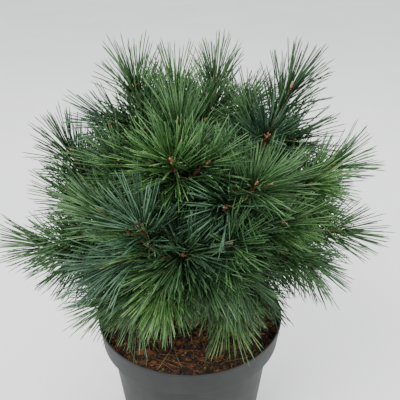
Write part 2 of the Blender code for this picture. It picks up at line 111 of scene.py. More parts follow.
# Bearings run from +X towards +Y and pitches up from level, in degrees. A side shoot has its place round
# the leader in degrees and its length as a share of it. The boughs leave the trunk in this order.
MASSES: tuple[Row, ...] = (
    Row("crown_top", (-0.014, 0.030, 0.452), 100, 84, 0.064, ((60, 0.8), (180, 0.8), (300, 0.8))),
    Row("left_low", (-0.090, -0.068, 0.242), 212, -10, 0.050, ((60, 0.9), (300, 0.7), (180, 0.8))),
    Row("back_low", (-0.014, 0.128, 0.262), 95, -4, 0.055, ((180, 0.9), (20, 0.8))),
    Row("back_low_left", (-0.116, 0.058, 0.256), 155, -4, 0.056, ((0, 0.9), (200, 0.8))),
    Row("back_low_right", (0.104, 0.074, 0.262), 36, -4, 0.056, ((0, 0.9), (200, 0.8))),
    Row("front_droop", (0.043, -0.078, 0.232), 276, -38, 0.045, ((40, 0.9), (120, 0.9))),
    Row("far_left", (-0.167, -0.036, 0.296), 182, 8, 0.066, ((180, 0.7), (20, 0.7))),
    Row("front_centre", (0.040, -0.128, 0.356), 285, 38, 0.050, ((283, 0.9), (20, 0.8))),
    Row("front_right", (0.110, -0.074, 0.304), 320, 8, 0.055, ((219, 1.0), (330, 0.8))),
    Row("front_low", (-0.023, -0.127, 0.297), 265, -2, 0.048, ((10, 0.9), (190, 0.9), (270, 0.7))),
    Row("right_low", (0.171, -0.022, 0.306), 352, 8, 0.068, ((240, 0.8), (70, 0.8))),
    Row("inner", (0.006, -0.056, 0.340), 272, 60, 0.052, ((0, 0.9), (180, 0.9), (90, 0.8))),
    Row("left_mid", (-0.120, -0.038, 0.354), 176, 34, 0.055, ((200, 0.9), (310, 0.9))),
    Row("left", (-0.083, -0.101, 0.376), 165, 33, 0.066, ((298, 0.9), (50, 0.8))),
    Row("right_back", (0.150, 0.052, 0.330), 20, 18, 0.058, ((60, 0.8), (250, 0.8))),
    Row("back_left", (-0.092, 0.102, 0.362), 132, 40, 0.058, ((20, 0.9), (250, 0.9), (140, 0.8))),
    Row("right_centre", (0.096, -0.078, 0.347), 322, 26, 0.052, ((110, 0.9), (300, 0.7))),
    Row("back_right", (0.096, 0.096, 0.372), 46, 42, 0.058, ((170, 0.9), (290, 0.9), (50, 0.8))),
    Row("left_upper", (-0.133, 0.016, 0.388), 168, 60, 0.060, ((200, 0.9), (20, 0.8))),
    Row("front", (-0.003, -0.140, 0.351), 268, 26, 0.052, ((138, 1.1), (320, 0.8), (230, 0.8))),
    Row("right_upper", (0.158, -0.010, 0.381), 5, 28, 0.070, ((163, 0.95), (25, 0.8), (260, 0.7))),
    Row("back", (0.000, 0.140, 0.372), 90, 40, 0.058, ((10, 0.9), (180, 0.9), (270, 0.7))),
    Row("right_front", (0.062, -0.116, 0.410), 290, 48, 0.052, ((110, 0.8), (200, 0.9), (20, 0.8))),
    Row("left_centre", (-0.070, -0.058, 0.406), 190, 50, 0.054, ((60, 0.9), (300, 0.8))),
    Row("top_right", (0.107, 0.012, 0.461), 20, 66, 0.078, ((30, 0.7), (250, 0.6), (140, 0.6))),
    Row("top_front", (-0.008, -0.062, 0.449), 100, 80, 0.064, ((125, 0.9), (74, 0.95), (10, 0.7))),
    Row("top_back", (0.030, 0.074, 0.452), 80, 76, 0.068, ((188, 0.9), (300, 0.9), (60, 0.8))),
    Row("centre", (0.030, -0.098, 0.386), 285, 40, 0.050, ((200, 0.9), (90, 0.7))),
    Row("top_left", (-0.054, 0.005, 0.465), 180, 78, 0.068, ((306, 0.9), (5, 1.0), (165, 0.8))),
)


class Green(Enum):
    """The colours of the living needles, dealt out by shoot."""

    # The deep green is the needles' own darker tone; on the inner twigs and the boughs it also stands for
    # painted shade inside the crown.
    DEEP = "deep"
    MID = "mid"
    FRESH = "fresh"
    BLUISH = "bluish"
    BRIGHT = "bright"


# The draw for a shoot's green, with the weight of each. The leaders of the bright masses are bright instead.
GREEN_WEIGHTS = {Green.DEEP: 0.28, Green.MID: 0.40, Green.FRESH: 0.20, Green.BLUISH: 0.12}
BRIGHT_MASSES = ("front_low",)


class Noise(IntEnum):
    """The fields of noise, each with a seed of its own."""

    CLODS = 1
    CRUMBS = 2
    SCALES = 11
    FINE_SCALES = 12
    KNOTS = 13
    KNOBS = 21


def to_linear(colour: str) -> tuple[float, float, float, float]:
    """Turn a colour to linear light.

    Args:
        colour: an sRGB hex value such as "#2f5a2c".

    Returns:
        Red, green, blue and alpha in linear light.
    """
    channels = [int(colour[place : place + 2], 16) / 255 for place in (1, 3, 5)]
    linear = [c / 12.92 if c <= 0.04045 else ((c + 0.055) / 1.055) ** 2.4 for c in channels]
    return (*linear, 1.0)


def add_node(
    tree: bpy.types.NodeTree,
    kind: str,
    values: dict | None = None,
    links: dict | None = None,
    **settings: object,
) -> bpy.types.Node:
    """Add one shader node.

    Args:
        tree: the material's or the world's node tree.
        kind: the node's type.
        values: socket values, by the input's name or number.
        links: output sockets to join to it, by the input's name or number.
        settings: the node's own settings.

    Returns:
        The new node.
    """
    node = tree.nodes.new(kind)
    for key, value in settings.items():
        setattr(node, key, value)
    for key, value in (values or {}).items():
        node.inputs[key].default_value = value
    for key, source in (links or {}).items():
        tree.links.new(source, node.inputs[key])
    return node


@dataclass(frozen=True)
class Finish:
    """A dull natural or moulded surface: patches of two colours and a fine relief.

    Sizes are in millimetres on the real thing: patch for the colour patches, grain for the relief and
    depth for how deep the relief is. The stretch draws patch and grain out along Z.
    """

    name: str
    light: str
    dark: str
    patch: float
    grain: float
    depth: float
    roughness: float
    ior: float = 1.45
    edge: tuple[float, float] = (0.38, 0.62)
    stretch: float = 1.0
    gloss_spread: float = 0.08

    def material(self) -> bpy.types.Material:
        """Build the material.

        Returns:
            A Principled material whose base colour is a ramp over noise at the patch size, whose
            roughness moves a little with it, and whose normal is bumped by noise at the grain size.
        """
        known = bpy.data.materials.get(self.name)
        if known:
            return known
        material = bpy.data.materials.new(self.name)
        material.use_nodes = True
        tree = material.node_tree
        shader = tree.nodes["Principled BSDF"]
        shader.inputs["Metallic"].default_value = 0.0
        shader.inputs["IOR"].default_value = self.ior
        place = add_node(tree, "ShaderNodeTexCoord").outputs["Object"]
        placed = add_node(
            tree, "ShaderNodeMapping", {"Scale": (1.0, 1.0, 1.0 / self.stretch)}, {"Vector": place}
        ).outputs["Vector"]
        patches, grains = (
            add_node(
                tree, "ShaderNodeTexNoise", {"Scale": 1.0 / (size * MM), "Detail": detail}, {"Vector": placed}
            ).outputs["Fac"]
            for size, detail in ((self.patch, PATCH_DETAIL), (self.grain, GRAIN_DETAIL))
        )
        ramp = add_node(tree, "ShaderNodeValToRGB", links={"Fac": patches})
        for element, spot, colour in zip(ramp.color_ramp.elements, self.edge, (self.dark, self.light)):
            element.position = spot
            element.color = to_linear(colour)
        tree.links.new(ramp.outputs["Color"], shader.inputs["Base Color"])
        gloss = add_node(
            tree,
            "ShaderNodeMapRange",
            {"To Min": self.roughness + self.gloss_spread, "To Max": self.roughness - self.gloss_spread},
            {"Value": patches},
        ).outputs["Result"]
        tree.links.new(gloss, shader.inputs["Roughness"])
        bump = add_node(
            tree,
            "ShaderNodeBump",
            {"Strength": RELIEF_STRENGTH, "Distance": self.depth * MM},
            {"Height": grains},
        )
        tree.links.new(bump.outputs["Normal"], shader.inputs["Normal"])
        return material


# Polypropylene, injection moulded: a matt, slightly mottled dark grey with a fine moulded grain.
POT_PLASTIC = Finish(
    "moulded_polypropylene", "#141617", "#0f1011", patch=22, grain=0.9, depth=0.06, roughness=0.62, ior=1.5
)
# Peat and composted bark, sifted: near black and brown crumbs that stay moist and dull.
POTTING_SOIL = Finish(
    "moist_peat_soil", "#35241a", "#150e09", patch=7, grain=1.6, depth=0.8, roughness=0.92, ior=1.5
)
SOIL_CRUMB = Finish(
    "peat_crumb", "#5a3d22", "#2a1a10", patch=9, grain=1.0, depth=0.3, roughness=0.92, ior=1.5
)
# Chipped pine bark: orange-brown corky flakes.
BARK_CHIP = Finish(
    "chipped_pine_bark", "#744826", "#3c2213", patch=4, grain=0.8, depth=0.3, roughness=0.85, ior=1.40
)
# Moss: golden-green tufts on the moist soil.
MOSS = Finish("soil_moss", "#7d6a2e", "#4d4a1e", patch=5, grain=0.7, depth=0.4, roughness=0.9, ior=1.40)
# Dead white pine needles: straw to fox-brown, dry and dull.
DEAD_NEEDLE = Finish(
    "dead_pine_needle", "#7c5430", "#4c2d18", patch=18, grain=1.2, depth=0.05, roughness=0.6
)
STRAW_NEEDLE = Finish(
    "straw_pine_needle", "#8f7a4c", "#625632", patch=18, grain=1.2, depth=0.05, roughness=0.55
)
# Old white pine wood: grey-brown bark in fine scales, drawn out upwards.
OLD_BARK = Finish(
    "scaly_pine_bark", "#6d5646", "#33241b", patch=5, grain=1.3, depth=0.45, roughness=0.86, stretch=2.0
)
# The season's shoots: smooth orange-brown bark set with the scars of needle bundles.
YOUNG_BARK = Finish(
    "young_shoot_bark", "#8f5a35", "#54301c", patch=4, grain=1.5, depth=0.35, roughness=0.68
)
# Resting buds: tan papery scales with a little resin on them.
BUD_SCALE = Finish("resinous_bud", "#d2a07a", "#8f5c3a", patch=2.0, grain=0.8, depth=0.15, roughness=0.45)
# Painted board for the floor: pale, even and dull.
FLOOR_BOARD = Finish("painted_board", "#f2f2ee", "#ededea", patch=400, grain=3, depth=0.02, roughness=0.8)

# Living needles: a waxed leaf with a soft sheen, green outside, and paler inside where the pores lie in
# white lines too fine to draw one by one.
NEEDLE_FINISHES: dict[Green, tuple[Finish, Finish]] = {
    green: (
        Finish(f"needle_{green.value}", light, dark, patch=26, grain=2.0, depth=0.03, roughness=0.42),
        Finish(f"needle_{green.value}_inner", pale, light, patch=26, grain=2.0, depth=0.03, roughness=0.5),
    )
    for green, light, dark, pale in (
        # The deep green: a darker tone of the needles, and on the inner twigs and the boughs painted shade
        # inside the crown.
        (Green.DEEP, "#223f1d", "#152b14", "#45653f"),
        (Green.MID, "#2b5023", "#1c3a1a", "#5b7f4f"),
        (Green.FRESH, "#366028", "#25471d", "#6c9158"),
        (Green.BLUISH, "#25452c", "#193222", "#5c7f62"),
        (Green.BRIGHT, "#426c2a", "#2c4f1e", "#769758"),
    )
}


def unit(vectors: Array) -> Array:
    """Vectors at length one, along the last axis."""
    return vectors / np.linalg.norm(vectors, axis=-1, keepdims=True)


def direction(bearing: float, pitch: float) -> Array:
    """The unit vector at a bearing and a pitch, in degrees."""
    turn, rise = math.radians(bearing), math.radians(pitch)
    return np.array((math.cos(rise) * math.cos(turn), math.cos(rise) * math.sin(turn), math.sin(rise)))


def across(axes: Array) -> tuple[Array, Array]:
    """Find two directions across each axis.

    Args:
        axes: unit vectors, along the last axis of the array.

    Returns:
        The level one, which is Z x axis, and the upper one, which is axis x level.
    """
    level = np.cross(UPRIGHT, axes)
    short = np.linalg.norm(level, axis=-1, keepdims=True) < SHORTEST_LEVEL
    level = unit(np.where(short, np.array((1.0, 0.0, 0.0)), level))
    return level, np.cross(axes, level)


def swing(turns: Array | float, level: Array, upper: Array) -> Array:
    """The directions cos(turn)*level + sin(turn)*upper, for turns in radians."""
    turned = np.asarray(turns)[..., None]
    return np.cos(turned) * level + np.sin(turned) * upper


def around(axis: Array, roll: float) -> Array:
    """The unit vector across an axis at a roll in degrees from the level one."""
    return swing(math.radians(roll), *across(axis))


def rotate(first: Array, second: Array, angle: Array) -> tuple[Array, Array]:
    """Two coordinates turned in their plane, each row by its own angle in radians."""
    cosine, sine = np.cos(angle)[:, None], np.sin(angle)[:, None]
    return first * cosine - second * sine, first * sine + second * cosine


def circle(sides: int, offset: float = 0.0) -> Array:
    """The cosines and sines round a circle, turned by an offset in steps."""
    turns = 2 * math.pi * (np.arange(sides) + offset) / sides
    return np.stack([np.cos(turns), np.sin(turns)], -1)


def lathe(profile: Array, sides: int) -> Array:
    """Turn a profile about Z.

    Args:
        profile: radius and height, one row a point.
        sides: how many sides the turned shape has.

    Returns:
        Points (r cos a, r sin a, z), as profile point by side by 3.
    """
    heights = np.broadcast_to(profile[:, None, 1:], (len(profile), sides, 1))
    return np.concatenate([profile[:, None, :1] * circle(sides), heights], -1)


def ring_quads(rings: int, sides: int) -> Array:
    """Join rings of points with quads.

    Args:
        rings: how many rings there are.
        sides: how many points a ring has.

    Returns:
        Corner numbers, one row a quad: along its ring, then across to the next ring and back.
    """
    low = np.arange(rings - 1)[:, None] * sides + np.arange(sides)
    step = np.arange(rings - 1)[:, None] * sides + (np.arange(sides) + 1) % sides
    return np.stack([low, step, step + sides, low + sides], -1).reshape(-1, 4)


def closed_faces(rings: int, sides: int) -> list[Array]:
    """Close rings whose points run down the outside into a body.

    Args:
        rings: how many rings there are.
        sides: how many points a ring has.

    Returns:
        The quads between the rings, then one face over the first ring and one over the last.
    """
    spin = np.arange(sides)
    quads = ring_quads(rings, sides)[:, TURNED_ROUND]
    return [quads, spin[None], ((rings - 1) * sides + spin)[None, ::-1]]


def repeat_faces(faces: Array, count: int, size: int) -> Array:
    """Repeat one shape's faces for many shapes.

    Args:
        faces: the first shape's corner numbers, one row a face.
        count: how many shapes there are.
        size: how many points a shape has.

    Returns:
        The corner numbers of them all, shape after shape.
    """
    shift = (np.arange(count) * size)[:, None, None]
    return (faces + shift).reshape(-1, faces.shape[-1])


def hermite(start: Array, leaving: Array, end: Array, arriving: Array, steps: int) -> tuple[Array, Array]:
    """A cubic through two points with given tangents.

    Args:
        start: the first point.
        leaving: the tangent there.
        end: the last point.
        arriving: the tangent there.
        steps: how many points to give.

    Returns:
        Points (2s^3-3s^2+1)P0 + (s^3-2s^2+s)T0 + (3s^2-2s^3)P1 + (s^3-s^2)T1 for s from 0 to 1, and the
        unit tangents there.
    """
    share = np.linspace(0, 1, steps)[:, None]
    squared, cubed = share**2, share**3
    path = (
        (2 * cubed - 3 * squared + 1) * start
        + (cubed - 2 * squared + share) * leaving
        + (3 * squared - 2 * cubed) * end
        + (cubed - squared) * arriving
    )
    slope = (
        (6 * squared - 6 * share) * (start - end)
        + (3 * squared - 4 * share + 1) * leaving
        + (3 * squared - 2 * share) * arriving
    )
    return path, unit(slope)


def lattice_noise(points: Array, cell: float, seed: int) -> Array:
    """Smooth noise over space.

    Args:
        points: places in metres, along the last axis.
        cell: the lattice's cell in metres.
        seed: picks one noise of many.

    Returns:
        Values from -1 to 1: hashed values at the corners of a cubic lattice, blended with the weights
        u*u*(3-2u) of the place in the cell.
    """
    place = points / cell
    low = np.floor(place).astype(np.int64)
    part = place - low
    part = part * part * (3 - 2 * part)
    total = np.zeros(points.shape[:-1])
    for corner in np.ndindex(2, 2, 2):
        scaled = (low + np.array(corner)).astype(np.uint64) * CORNER_FACTORS
        mixed = np.bitwise_xor.reduce(scaled, axis=-1) ^ np.uint64(seed * SEED_FACTOR + SEED_OFFSET)
        mixed = (mixed ^ (mixed >> MIX_SHIFT)) * MIX_FACTOR
        value = ((mixed >> VALUE_SHIFT) & VALUE_MASK) / HALF_RANGE - 1.0
        total += np.prod(np.where(corner, part, 1 - part), axis=-1) * value
    return total


def link_object(name: str, data: bpy.types.ID) -> bpy.types.Object:
    """Make an object and link it to the scene.

    Args:
        name: the object's name.
        data: its mesh, light or camera.

    Returns:
        The object.
    """
    made = bpy.data.objects.new(name, data)
    bpy.context.scene.collection.objects.link(made)
    return made


def add_piece(
    name: str,
    points: Array,
    faces: list[Array],
    finishes: list[Finish],
    slots: Array | None = None,
    smooth: bool = True,
) -> bpy.types.Object:
    """Put a surface into the scene as one object that rides on the plant's body.

    Args:
        name: the piece's name.
        points: its points in metres.
        faces: arrays of corner numbers, one row a face.
        finishes: its finishes in slot order.
        slots: each face's slot, in the faces' order, or None where there is one.
        smooth: whether it is shaded smooth.

    Returns:
        The object, at the origin, unturned and unscaled.
    """
    mesh = bpy.data.meshes.new(name)
    sizes = np.concatenate([np.full(len(group), group.shape[1]) for group in faces])
    corners = np.concatenate([group.ravel() for group in faces]).astype(np.int32)
    mesh.vertices.add(len(points))
    mesh.vertices.foreach_set("co", np.ascontiguousarray(points, np.float32).ravel())
    mesh.loops.add(len(corners))
    mesh.loops.foreach_set("vertex_index", corners)
    mesh.polygons.add(len(sizes))
    mesh.polygons.foreach_set("loop_start", (np.cumsum(sizes) - sizes).astype(np.int32))
    for finish in finishes:
        mesh.materials.append(finish.material())
    if slots is not None:
        mesh.polygons.foreach_set("material_index", slots.astype(np.int32))
    mesh.update(calc_edges=True)
    mesh.validate()
    if smooth:
        mesh.shade_smooth()
    piece = link_object(name, mesh)
    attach(piece, "root")
    LOG.info("%s: %d faces", name, len(mesh.polygons))
    return piece


def tubes(paths: Array, tangents: Array, radii: Array, sides: int) -> tuple[Array, list[Array], Array]:
    """Carry a circle along each of several paths.

    Args:
        paths: points, as limb by ring by 3.
        tangents: unit tangents, in the same shape.
        radii: radii, as limb by ring.
        sides: how many sides a ring has.

    Returns:
        The points, with each limb's two end centres last, then the faces as quads and end triangles,
        and each ring point's outward direction. A ring point is P + r(cos(a)A + sin(a)B), with A carried
        along the path without twist and B = T x A.
    """
    count, rings = radii.shape
    helper = np.where(np.abs(tangents[:, :1, 2:]) > STEEP, np.array((0.0, 1.0, 0.0)), UPRIGHT)
    first = [unit(np.cross(helper[:, 0], tangents[:, 0]))]
    for ring in range(1, rings):
        along = tangents[:, ring]
        first.append(unit(first[-1] - (first[-1] * along).sum(-1, keepdims=True) * along))
    level = np.stack(first, 1)[:, :, None]
    upper = np.cross(tangents, level[:, :, 0])[:, :, None]
    outward = swing(2 * math.pi * np.arange(sides) / sides, level, upper)
    skin = paths[:, :, None] + radii[..., None, None] * outward
    points = np.concatenate([skin.reshape(count, -1, 3), paths[:, [0, -1]]], 1)
    size = rings * sides + 2
    here, following = np.arange(sides), (np.arange(sides) + 1) % sides
    last = (rings - 1) * sides
    foot = np.stack([np.full(sides, size - 2), following, here], -1)
    tip = np.stack([np.full(sides, size - 1), last + here, last + following], -1)
    shapes = (ring_quads(rings, sides), np.concatenate([foot, tip]))
    return points.reshape(-1, 3), [repeat_faces(shape, count, size) for shape in shapes], outward


@dataclass
class Needles:
    """The needle as a shape: a three-sided blade that narrows to a point along a bent path."""

    width: float = 1.25 * MM
    rings: tuple[float, ...] = (0.0, 0.48, 0.92)
    ring_widths: tuple[float, ...] = (0.70, 1.0, 0.78)
    most_in_piece: int = 12000

    def shapes(
        self, roots: Array, aims: Array, bends: Array, lengths: Array, turns: Array
    ) -> tuple[Array, list[Array]]:
        """Work out many needles at once.

        Args:
            roots: where each needle starts.
            aims: unit directions at the root.
            bends: how far the tip strays from straight, as a share of the length.
            lengths: lengths in metres.
            turns: each needle's roll about itself, in radians.

        Returns:
            Points and faces. A needle's centre line is root + L(t*aim + t^2*bend).
        """
        count = len(roots)
        share = np.array(self.rings)[:, None]
        size = lengths[:, None, None]
        centre = roots[:, None] + size * (share * aims[:, None] + share**2 * bends[:, None])
        tip = roots + lengths[:, None] * (aims + bends)
        level, upper = across(aims)
        out = swing(turns[:, None] + np.arange(3) * 2 * math.pi / 3, level[:, None], upper[:, None])
        half = self.width / 2 * np.array(self.ring_widths)
        skin = centre[:, :, None] + half[:, None, None] * out[:, None]
        points = np.concatenate([skin.reshape(count, -1, 3), tip[:, None]], 1)
        point = len(self.rings) * 3
        last = point - 3
        ends = [(last, last + 1, point), (last + 1, last + 2, point), (last + 2, last, point), (2, 1, 0)]
        shapes = (ring_quads(len(self.rings), 3), np.array(ends))
        return points.reshape(-1, 3), [repeat_faces(shape, count, point + 1) for shape in shapes]

    def slots(self, count: int) -> Array:
        """Give the outer side slot 0 and the two inner sides slot 1.

        Args:
            count: how many needles there are.

        Returns:
            One slot a face, in the order of the shapes' faces.
        """
        sides = np.tile(np.array([0, 1, 1]), len(self.rings) - 1)
        return np.concatenate([np.tile(sides, count), np.tile(np.array([0, 1, 1, 1]), count)])


@dataclass
class Shoot:
    """A straight shoot from its foot to its bud."""

    foot: Array
    tip: Array
    foot_radius: float
    mass: str
    bundles_per_mm: float = 0.46
    bare_foot: float = 0.12
    budded: bool = True

    @property
    def length(self) -> float:
        """The shoot's length in metres."""
        return float(np.linalg.norm(self.tip - self.foot))

    @property
    def axis(self) -> Array:
        """The shoot's unit direction."""
        return unit(self.tip - self.foot)


@dataclass
class Limb:
    """The trunk or a bough: a path with its tangents and radii."""

    name: str
    path: Array
    tangents: Array
    radii: Array


@dataclass
class Pot:
    """The moulded nursery pot, with its collar, lip, rounded edges and drain holes."""

    height: float = field(default_factory=lambda: float(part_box("pot")[1][2]))
    rim_radius: float = field(default_factory=lambda: float(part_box("pot")[1][0]))
    collar_height: float = 31 * MM
    collar_foot_radius: float = 109.3 * MM
    body_top_radius: float = 99.5 * MM
    base_radius: float = 84 * MM
    foot_taper: float = 0.2 * MM
    wall: float = 2 * MM
    floor: float = 2.5 * MM
    floor_inset: float = 3.6 * MM
    floor_round: float = 2.4 * MM
    floor_arc: tuple[float, float] = (285.0, 350.0)
    lip_height: float = 3.2 * MM
    lip_fall: float = 0.6 * MM
    lip_step: float = 0.5 * MM
    edge: float = 1.2 * MM
    step_foot: float = 2 * MM
    step_top: float = 4 * MM
    sides: int = 144
    arc_steps: int = 6
    sharp_angle: float = 30.0
    holes: int = 4
    hole_radius: float = 6 * MM
    hole_circle: float = 60 * MM
    hole_sides: int = 24

    def arc(self, centre: tuple[float, float], radius: float, start: float, end: float) -> Array:
        """A round edge of the profile.

        Args:
            centre: the arc's centre as radius and height.
            radius: the arc's radius.
            start: the first angle in degrees, from outwards towards up.
            end: the last angle.

        Returns:
            Points (r + R cos a, z + R sin a).
        """
        turns = np.radians(np.linspace(start, end, self.arc_steps))
        return np.array(centre) + radius * np.stack([np.cos(turns), np.sin(turns)], -1)

    def profile(self) -> Array:
        """The wall's section.

        Returns:
            Radius and height round the wall, from the inside of the floor over the rim to the underside.
        """
        collar_foot = self.height - self.collar_height
        lip_foot = self.height - self.lip_height
        inner_foot = self.base_radius - self.wall - self.floor_inset
        bead = self.wall / 2
        sections = [
            [(inner_foot, self.floor)],
            self.arc((inner_foot, self.floor + self.floor_round), self.floor_round, *self.floor_arc),
            [(self.body_top_radius - self.wall, collar_foot + self.step_foot)],
            [(self.collar_foot_radius - self.wall, collar_foot + self.step_top)],
            [(self.rim_radius - self.wall, self.height - bead)],
            self.arc((self.rim_radius - bead, self.height - bead), bead, 180, 0),
            [(self.rim_radius, lip_foot)],
            [(self.rim_radius - self.lip_step, lip_foot - self.lip_fall)],
            [(self.collar_foot_radius, collar_foot + self.edge)],
            self.arc((self.collar_foot_radius - self.edge, collar_foot + self.edge), self.edge, 0, -90),
            [(self.body_top_radius + self.edge, collar_foot)],
            self.arc((self.body_top_radius + self.edge, collar_foot - self.edge), self.edge, 90, 180),
            [(self.base_radius + self.foot_taper, 2 * self.edge)],
            self.arc((self.base_radius - self.edge, self.edge), self.edge, 0, -90),
        ]
        return np.concatenate(sections)

    def build(self) -> bpy.types.Object:
        """Turn the profile about Z, close its floor and drill the drain holes.

        Returns:
            The pot's piece.
        """
        profile = self.profile()
        points = lathe(profile, self.sides).reshape(-1, 3)
        pot = add_piece("nursery_pot", points, closed_faces(len(profile), self.sides), [POT_PLASTIC])
        self.drill(pot)
        pot.data.shade_smooth()
        pot.data.set_sharp_from_angle(angle=math.radians(self.sharp_angle))
        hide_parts("pot")
        return pot

    def drill(self, pot: bpy.types.Object) -> None:
        """Cut the drain holes through the floor.

        Args:
            pot: the pot's piece.
        """
        centres = self.hole_circle * circle(self.holes, 0.5)
        foot = np.concatenate([centres, np.full((self.holes, 1), -self.floor)], -1)
        paths = np.stack([foot, foot + 3 * self.floor * UPRIGHT], 1)
        tangents = np.broadcast_to(UPRIGHT, paths.shape)
        radii = np.full((self.holes, 2), self.hole_radius)
        points, faces, _ = tubes(paths, tangents, radii, self.hole_sides)
        mesh = bpy.data.meshes.new("drills")
        mesh.from_pydata(points.tolist(), [], [row for group in faces for row in group.tolist()])
        drills = link_object("drills", mesh)
        cut = pot.modifiers.new("drain", "BOOLEAN")
        cut.operation = "DIFFERENCE"
        cut.object = drills
        with bpy.context.temp_override(object=pot, active_object=pot):
            bpy.ops.object.modifier_apply(modifier=cut.name)
        bpy.data.objects.remove(drills)
        bpy.data.meshes.remove(mesh)

    def inner_radius(self, height: float) -> float:
        """The wall's inner radius in the collar.

        Args:
            height: a height above the collar's inner step.

        Returns:
            The radius there, on the straight line from the step to the rim.
        """
        collar_foot = self.height - self.collar_height + self.step_top
        share = (height - collar_foot) / (self.height - collar_foot)
        return self.collar_foot_radius - self.wall + (self.rim_radius - self.collar_foot_radius) * share


@dataclass(frozen=True)
class Lumps:
    """Small irregular lumps of one kind.

    The sizes are the least and the greatest half length, and the thickness is a share of that.
    """

    name: str
    finish: Finish
    seed: int
    count: int
    sizes: tuple[float, float]
    thickness: tuple[float, float]


SOIL_LUMPS = (
    Lumps("soil_crumbs", SOIL_CRUMB, 1, 2600, (0.8 * MM, 2.4 * MM), (0.5, 0.9)),
    Lumps("bark_chips", BARK_CHIP, 2, 150, (2.5 * MM, 6.5 * MM), (0.15, 0.35)),
    Lumps("moss_tufts", MOSS, 3, 260, (1.0 * MM, 2.6 * MM), (0.4, 0.7)),
)


